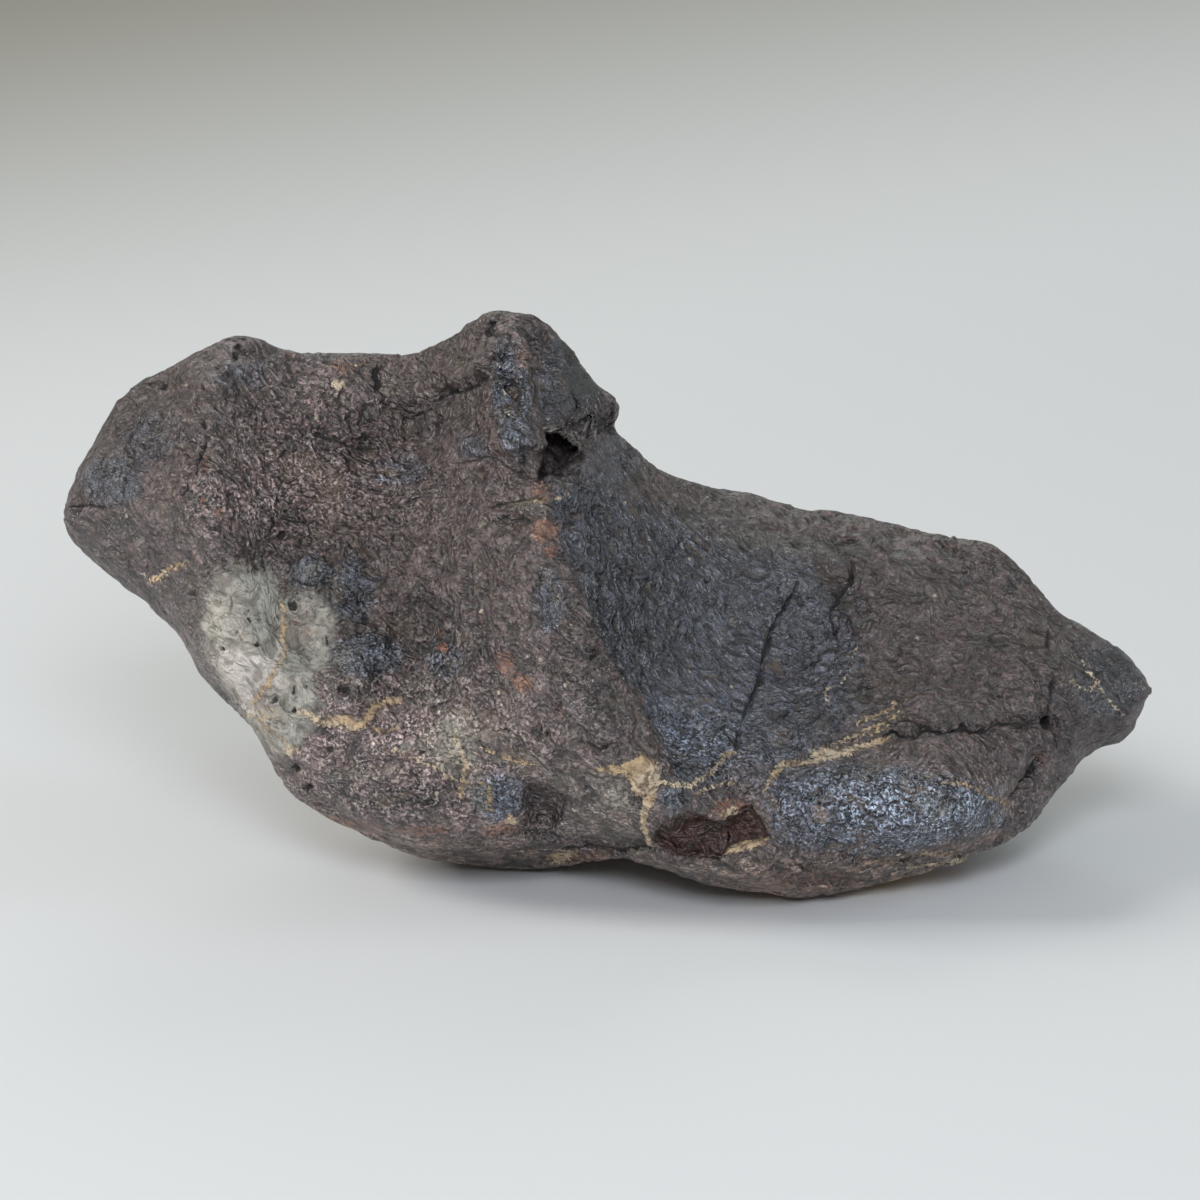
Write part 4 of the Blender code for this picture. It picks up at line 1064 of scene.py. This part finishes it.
def ragged_group():
    """A mask with a ragged edge where an amount that fades over the surface passes through zero."""
    nodes, given, result = new_group(
        "ShaderNodeTree", "ragged edge",
        {"Amount": ("NodeSocketFloat", 0.0), "Cloud": ("NodeSocketFloat", 0.5),
         "Raggedness": ("NodeSocketFloat", 0.5), "Softness": ("NodeSocketFloat", 0.1)},
        {"Mask": "NodeSocketFloat"})
    swing = nodes.times(nodes.minus(given["Cloud"], 0.5), given["Raggedness"])
    amount = nodes.plus(given["Amount"], swing)
    low = nodes.times(given["Softness"], -1.0)
    nodes.feed(result["Mask"], nodes.between(amount, low, given["Softness"]))
    return nodes.tree


def fleck_group():
    """Scattered round flecks: a share of the cells holds one."""
    nodes, given, result = new_group(
        "ShaderNodeTree", "mineral flecks",
        {"Vector": ("NodeSocketVector", None), "Spacing": ("NodeSocketFloat", 1.0),
         "Radius": ("NodeSocketFloat", 0.3), "Share": ("NodeSocketFloat", 0.3)},
        {"Mask": "NodeSocketFloat"})
    scale = nodes.math("DIVIDE", 1.0, given["Spacing"])
    wobble = nodes.add("ShaderNodeTexNoise", {"Vector": given["Vector"],
                                              "Scale": nodes.times(scale, 2.5)}).outputs["Color"]
    place = nodes.vector("ADD", given["Vector"], nodes.vector("SCALE", wobble, 0.25))
    cell = nodes.add("ShaderNodeTexVoronoi", {"Vector": place, "Scale": scale})
    chance = nodes.add("ShaderNodeSeparateColor", {0: cell.outputs["Color"]}).outputs[0]
    held = nodes.math("LESS_THAN", chance, given["Share"])
    inner = nodes.times(given["Radius"], 0.6)
    spot = nodes.minus(1.0, nodes.between(cell.outputs["Distance"], inner, given["Radius"]))
    nodes.feed(result["Mask"], nodes.times(spot, held))
    return nodes.tree


class StoneNodes(Nodes):
    """The stone's material tree, with the places and noises that its layers share."""

    def __init__(self, tree):
        super().__init__(tree)
        self.ragged = ragged_group()
        self.fleck = fleck_group()
        coordinate = self.add("ShaderNodeTexCoord").outputs["Object"]
        self.place = self.vector("SCALE", coordinate, 1.0 / MM)
        along = self.flow(self.place)
        self.cloud = self.noise(self.place, 1.0 / CLOUD_MM, 3.0, 0.6)
        self.mottle = self.noise(along, 1.0 / MOTTLE_MM, 4.0, 0.7, 0.8)
        self.grain = self.noise(self.place, 1.0 / GRAIN_MM, 2.0, 0.7, 0.3)
        self.ridge = self.ridges(along, RIDGE_MM, 4.0, 0.6, 1.0)
        _, self.small_chance = self.flakes(along, SMALL_FLAKE_MM)
        self.fine, self.fine_chance = self.flakes(along, FINE_FLAKE_MM)
        # Painted shade in the relief's creases and in the valleys between ridges.
        self.crease_shade = self.larger(self.between(self.attribute("relief"), -0.05, -0.22),
                                   self.between(self.ridge, 0.56, 0.26))

    def flecks(self, shift, spacing, radius, share):
        """A mask of scattered flecks, with sizes in millimetres."""
        node = self.add("ShaderNodeGroup", node_tree=self.fleck)
        for name, value in (("Vector", self.vector("ADD", self.place, shift)), ("Spacing", spacing),
                            ("Radius", radius), ("Share", share)):
            self.feed(node.inputs[name], value)
        return node.outputs["Mask"]

    def covered(self, name, threshold, raggedness, softness, by=None):
        """A mask with a ragged edge where the skin's value of this name passes the threshold."""
        node = self.add("ShaderNodeGroup", node_tree=self.ragged)
        amount = self.minus(self.attribute(name), threshold)
        cloud = self.mottle if by is None else by
        for title, value in (("Amount", amount), ("Cloud", cloud), ("Raggedness", raggedness),
                             ("Softness", softness)):
            self.feed(node.inputs[title], value)
        return node.outputs["Mask"]

    def shaded(self, by, start, end, first, second):
        """A colour that goes from one tone to another as a noise goes from start to end."""
        return self.mix(self.between(by, start, end), tone(first), tone(second))

    def laid(self, share, mask, under, over):
        """A colour under a layer that covers this share of it where the mask is 1."""
        return self.mix(self.times(mask, share), under, over)


def bare_rock(nodes, blue):
    """Brown rock with bluish zones that are partly painted sheen, olive and banded zones, painted near-black
    shade, light and dark flakes, and a speckled grain partly painted as the light and shade of fine flakes.
    """
    colour = nodes.shaded(nodes.cloud, 0.38, 0.62, "light brown", "dark brown")
    colour = nodes.laid(0.50, nodes.between(nodes.small_chance, 0.3, 1.0), colour, tone("light flake"))
    colour = nodes.laid(0.50, nodes.between(nodes.fine_chance, 0.5, 1.0), colour, tone("dark flake"))
    # Bluish grey skin, partly painted bluish sheen.
    bluish_skin_and_sheen = nodes.shaded(nodes.mottle, 0.38, 0.66, "deep blue grey", "pale blue grey")
    colour = nodes.laid(0.80, blue, colour, bluish_skin_and_sheen)
    colour = nodes.laid(0.50, nodes.covered("olive", 0.0, 2.0, 0.40), colour, tone("olive"))
    streaks = nodes.noise(nodes.vector("MULTIPLY", nodes.place, BAND_STRETCH), 1.0 / BAND_MM, 2.0, 0.65)
    bands = nodes.shaded(streaks, 0.38, 0.62, "dark band", "light band")
    colour = nodes.laid(0.80, nodes.covered("banded", 0.0, 1.2, 0.40), colour, bands)
    # Painted shade, near black, in recesses and on faces turned from the light.
    colour = nodes.laid(0.65, nodes.covered("painted shade", 0.35, 1.4, 0.35), colour, tone("painted recess shade"))
    # Speckled grain, partly painted light and shade that follow the fine flakes' tilt.
    speckle_and_flake_shading = nodes.shaded(nodes.plus(nodes.fine, nodes.grain), 0.15, 0.95,
                           "speckle and flake shade", "speckle and flake highlight")
    share = nodes.plus(nodes.times(nodes.attribute("coarse"), 0.7), 0.3)
    return nodes.mix(share, colour, speckle_and_flake_shading, "OVERLAY")


def crease_shade_glints_and_flecks(nodes, colour):
    """Painted shade, with some dirt and dust, in the creases, painted glints on the crests, and mineral
    flecks.
    """
    # Painted crease shade, with some dirt and dust in it.
    crease_shade_and_dirt = nodes.shaded(nodes.cloud, 0.50, 0.58, "crease_shade_and_dirt", "crease_shade_and_dust")
    colour = nodes.laid(0.85, nodes.crease_shade, colour, crease_shade_and_dirt)
    # Painted glints on the crests of the ridges.
    painted_crest_glints = nodes.times(nodes.between(nodes.ridge, 1.18, 1.48), nodes.between(nodes.mottle, 0.48, 0.62))
    colour = nodes.laid(0.55, painted_crest_glints, colour, tone("painted crest glint"))
    colour = nodes.laid(0.75, nodes.flecks((5.0, 0.0, 9.0), 1.6, 0.13, 0.22), colour, tone("pale fleck"))
    return nodes.laid(0.80, nodes.flecks((1.0, 7.0, 2.0), 0.9, 0.15, 0.35), colour, tone("dark fleck"))


def painted_light_shade_and_glints(nodes, colour, blue):
    """The colour painted darker or lighter from place to place as painted light and shade, with fine painted
    glints and sheen on the crests.
    """
    painted_light_and_shade = nodes.attribute("painted_light_and_shade")
    painted_gain = nodes.plus(nodes.math("MINIMUM", painted_light_and_shade, nodes.times(painted_light_and_shade, 0.4)), 1.0)
    painted_glints = nodes.times(nodes.between(nodes.grain, 0.47, 0.66),
                         nodes.between(nodes.ridge, 0.55, 1.10, 0.25, 1.0))
    painted_sheen_strength = nodes.plus(nodes.times(nodes.larger(painted_light_and_shade, 0.0), 3.4),
                         nodes.times(nodes.attribute("coarse"), 2.6))
    painted_sheen = nodes.vector("SCALE", nodes.mix(blue, tone("painted brown sheen"), tone("painted blue sheen")),
                         nodes.times(painted_sheen_strength, painted_glints))
    return nodes.vector("ADD", nodes.vector("SCALE", colour, painted_gain), painted_sheen)


def pale_skin(nodes, colour, pale):
    """The colour under a pale film and the pale patch, which is stained and has painted shade, with some
    grime, in its creases.
    """
    film = nodes.times(nodes.attribute("veil"), nodes.between(nodes.grain, 0.38, 0.60, 0.1, 1.0))
    colour = nodes.laid(0.72, film, colour, tone("film"))
    pinkish = nodes.covered("pinkish", 0.2, 1.4, 0.30)
    patch = nodes.shaded(nodes.cloud, 0.4, 0.6, "grey green patch", "cream patch")
    patch = nodes.mix(pinkish, patch, tone("pinkish patch"))
    stains = nodes.times(nodes.between(nodes.mottle, 0.44, 0.34),
                         nodes.between(pinkish, 1.0, 0.0, 0.3, 0.85))
    patch = nodes.mix(stains, patch, tone("stain"))
    colour = nodes.laid(0.92, pale, colour, patch)
    # Painted shade, with some grime, in the pale patch's creases.
    return nodes.laid(0.60, nodes.times(pale, nodes.crease_shade), colour, tone("patch crease shade and grime"))


def rust_and_salts(nodes, colour, crust):
    """The colour under rust stains, the fresh face of the spall and crusts of soil salts."""
    rust = nodes.shaded(nodes.mottle, 0.35, 0.65, "dark rust", "light rust")
    colour = nodes.laid(0.70, nodes.covered("rust", 0.48, 2.4, 0.14, nodes.grain), colour, rust)
    fresh = nodes.shaded(nodes.mottle, 0.3, 0.7, "dark fresh face", "light fresh face")
    colour = nodes.laid(0.88, nodes.attribute("spalled"), colour, fresh)
    salt = nodes.shaded(nodes.cloud, 0.42, 0.58, "cream salt", "tan salt")
    salt = nodes.mix(nodes.between(nodes.mottle, 0.36, 0.56), tone("dirty salt"), salt)
    return nodes.laid(0.92, crust, colour, salt)


def open_cracks(nodes):
    """A mask of cracks and pits, and one that has the pores as well."""
    crack = nodes.minus(nodes.attribute("crack gape"),
                        nodes.math("ABSOLUTE", nodes.attribute("crack side")))
    ragged_by = nodes.times(nodes.minus(nodes.grain, 0.5), 0.2)
    gap = nodes.plus(nodes.larger(crack, nodes.attribute("hollow")), ragged_by)
    opened = nodes.between(gap, -0.03, 0.05)
    pores = nodes.times(nodes.attribute("pore"), 0.6)
    return opened, nodes.larger(opened, pores)


def skin_roughness(nodes, blue, pale, crust, hollow):
    """Bluish skin is the glossiest, and crusts, openings and the pale patch are matt."""
    gloss = nodes.plus(nodes.times(blue, 0.30), nodes.mottle)
    polish = nodes.between(gloss, 0.40, 0.80)
    matt = nodes.larger(nodes.larger(crust, hollow), nodes.times(pale, 0.8))
    bare = nodes.between(polish, 0.0, 1.0, BARE_ROUGHNESS, POLISHED_ROUGHNESS)
    return nodes.add("ShaderNodeMix", {0: matt, 2: bare, 3: MATT_ROUGHNESS}, data_type="FLOAT").outputs[0]


def fine_bumps(nodes, crust, opened):
    """The surface's direction with flakes, ridges, grain, crusts and openings too small for the mesh."""
    flaked = nodes.plus(nodes.times(nodes.fine, 0.30), nodes.times(nodes.ridge, 0.46))
    flaked = nodes.times(flaked, nodes.plus(nodes.attribute("coarse"), 0.15))
    height = nodes.plus(flaked, nodes.times(nodes.grain, 0.18))
    height = nodes.plus(height, nodes.times(crust, 0.06))
    height = nodes.minus(height, nodes.times(opened, 0.15))
    bump = nodes.add("ShaderNodeBump", {"Strength": 1.0, "Distance": MM, "Height": height})
    return bump.outputs["Normal"]


def stone_material():
    """Dark weathered crust, brown and bluish grey, with soil salts, rust, pores and open cracks, painted
    shade in creases, cracks, pits and recesses, and painted glints and sheen.
    """
    material = bpy.data.materials.new("weathered chondrite")
    material.use_nodes = True
    tree = material.node_tree
    tree.nodes.clear()
    nodes = StoneNodes(tree)
    blue = nodes.covered("blue", 0.0, 1.6, 0.50)
    pale = nodes.covered("pale", 0.0, 2.2, 0.45)
    crust = nodes.covered("crust", 0.0, 1.3, 0.06, nodes.grain)
    opened, hollow = open_cracks(nodes)
    colour = crease_shade_glints_and_flecks(nodes, bare_rock(nodes, blue))
    colour = painted_light_shade_and_glints(nodes, colour, blue)
    colour = pale_skin(nodes, colour, pale)
    colour = rust_and_salts(nodes, colour, crust)
    # Painted shade in cracks, pits and pores.
    colour = nodes.laid(0.88, hollow, colour, tone("painted opening shade"))
    surface = nodes.add("ShaderNodeBsdfPrincipled", {
        "Base Color": colour, "Roughness": skin_roughness(nodes, blue, pale, crust, hollow),
        "Normal": fine_bumps(nodes, crust, opened), "IOR": 1.6, "Specular IOR Level": 0.9})
    output = nodes.add("ShaderNodeOutputMaterial")
    tree.links.new(surface.outputs["BSDF"], output.inputs["Surface"])
    return material


def paper_material():
    """Matt pale paper that falls off into shade towards the back and the left."""
    material = bpy.data.materials.new("pale paper")
    material.use_nodes = True
    nodes = Nodes(material.node_tree)
    coordinate = nodes.add("ShaderNodeTexCoord").outputs["Object"]
    place = nodes.add("ShaderNodeSeparateXYZ", {0: coordinate})
    lean = nodes.times(place.outputs["X"], SHADE_LEAN)
    shade = nodes.between(nodes.minus(place.outputs["Y"], lean), SHADE_STARTS, SHADE_ENDS)
    surface = material.node_tree.nodes["Principled BSDF"]
    nodes.feed(surface.inputs["Base Color"], nodes.mix(shade, tone("paper"), tone("shaded paper")))
    surface.inputs["Roughness"].default_value = PAPER_ROUGHNESS
    return material


def paper_floor():
    """The flat floor under the stone."""
    sheet = bmesh.new()
    corners = ((-1.0, -1.0), (1.0, -1.0), (1.0, 1.0), (-1.0, 1.0))
    sheet.faces.new([sheet.verts.new((x * FLOOR_HALF_SIDE, y * FLOOR_HALF_SIDE, 0.0)) for x, y in corners])
    mesh = bpy.data.meshes.new("paper")
    sheet.to_mesh(mesh)
    sheet.free()
    mesh.materials.append(paper_material())
    floor = bpy.data.objects.new("paper", mesh)
    bpy.context.scene.collection.objects.link(floor)
    return floor


def soft_light(name, place, aim, size, power, colour):
    """A square soft light that faces the point it aims at."""
    lamp = bpy.data.lights.new(name, "AREA")
    lamp.shape = "SQUARE"
    lamp.size = size
    lamp.energy = power
    lamp.color = colour
    light = bpy.data.objects.new(name, lamp)
    light.location = place
    light.rotation_euler = (Vector(aim) - Vector(place)).to_track_quat("-Z", "Y").to_euler()
    bpy.context.scene.collection.objects.link(light)
    return light


def set_world():
    """Even light from all round."""
    world = bpy.data.worlds.new("studio")
    world.use_nodes = True
    background = world.node_tree.nodes["Background"]
    background.inputs["Color"].default_value = WORLD_COLOUR
    background.inputs["Strength"].default_value = WORLD_STRENGTH
    bpy.context.scene.world = world


def set_lights():
    """The soft lights of LIGHTS, each facing the stone."""
    for name, (place, size, power, colour) in LIGHTS.items():
        soft_light(name, place, LIGHTS_AIM, size, power, colour)


def place_camera():
    """The camera at the photograph's viewing angle."""
    lens = bpy.data.cameras.new("camera")
    lens.sensor_width = SENSOR_MM
    lens.lens = SENSOR_MM * CAMERA_DISTANCE / (PICTURE_PIXELS * PIXEL_MM * MM)
    lens.clip_start = 0.01
    camera = bpy.data.objects.new("camera", lens)
    camera.location = CAMERA_AIM + CAMERA_DISTANCE * TOWARD_CAMERA
    camera.rotation_euler = (math.pi / 2.0 - LOOK_DOWN, 0.0, 0.0)
    bpy.context.scene.collection.objects.link(camera)
    bpy.context.scene.camera = camera


# The grain of the rock: which way its wrinkles run, how far they are drawn out, and the sizes of its clouds,
# mottles, grain, ridges, flakes and bands.
FLOW_ANGLE = math.radians(-35.0)
FLOW_STRETCH = (0.80, 1.0, 1.10)
CLOUD_MM = 4.0
MOTTLE_MM = 0.9
GRAIN_MM = 0.26
RIDGE_MM = 1.6
RIDGE_MIDDLE = 0.85
LARGE_FLAKE_MM = 2.4
SMALL_FLAKE_MM = 1.15
FINE_FLAKE_MM = 0.55
# How far a flake's outline wanders, as a share of its size.
FLAKE_WARP = 1.3
BAND_MM = 0.7
BAND_STRETCH = (0.28, 0.8, 1.5)
BARE_ROUGHNESS = 0.42
POLISHED_ROUGHNESS = 0.20
MATT_ROUGHNESS = 0.92

# The share of the cells without a pore, and the widest pore's radius as a share of the pores' spacing.
WITHOUT_PORE = 0.72
WIDEST_PORE = 0.20
RELIEF = {
    "Wrinkle Size": 3.4,
    "Wrinkle Height": 0.42,
    "Flake Height": 0.30,
    "Pore Spacing": 1.9,
    "Pore Depth": 0.18,
    "Grains per Area": 2.0e6,
    "Salt Grain Size": 0.07,
    "Seed": 7,
}

PAPER_ROUGHNESS = 0.85
# How far behind the stone's middle the paper starts to darken and is darkest, in metres, and how far that
# moves back for each metre to the right.
SHADE_STARTS = 0.14
SHADE_ENDS = 0.38
SHADE_LEAN = 0.7
FLOOR_HALF_SIDE = 2.0
WORLD_COLOUR = (1.0, 0.96, 0.88, 1.0)
WORLD_STRENGTH = 0.30
# Each light: its place, its size, its power and its colour.
LIGHTS = {
    "left light": ((-0.51, 0.0, 0.36), 0.22, 1.90, (1.0, 0.99, 0.94)),
    "front light": ((0.0, -0.51, 0.36), 0.22, 1.90, (0.86, 0.92, 1.0)),
    "right light": ((0.51, 0.0, 0.36), 0.26, 0.50, (0.70, 0.90, 1.0)),
    "back light": ((0.0, 0.51, 0.36), 0.26, 0.54, (0.90, 1.0, 1.0)),
}
LIGHTS_AIM = (0.0, 0.0, 0.01)


def main():
    """The stone in place of its CAD node, on its floor, lit and in view."""
    stone = bpy.data.objects.new("chondrite", weathered(stone_mesh(), RELIEF, stone_material()))
    bpy.context.scene.collection.objects.link(stone)
    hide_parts("stone")
    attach(stone, "root")
    paper_floor()
    set_world()
    set_lights()
    place_camera()
    bpy.context.scene.view_settings.view_transform = "Standard"


main()
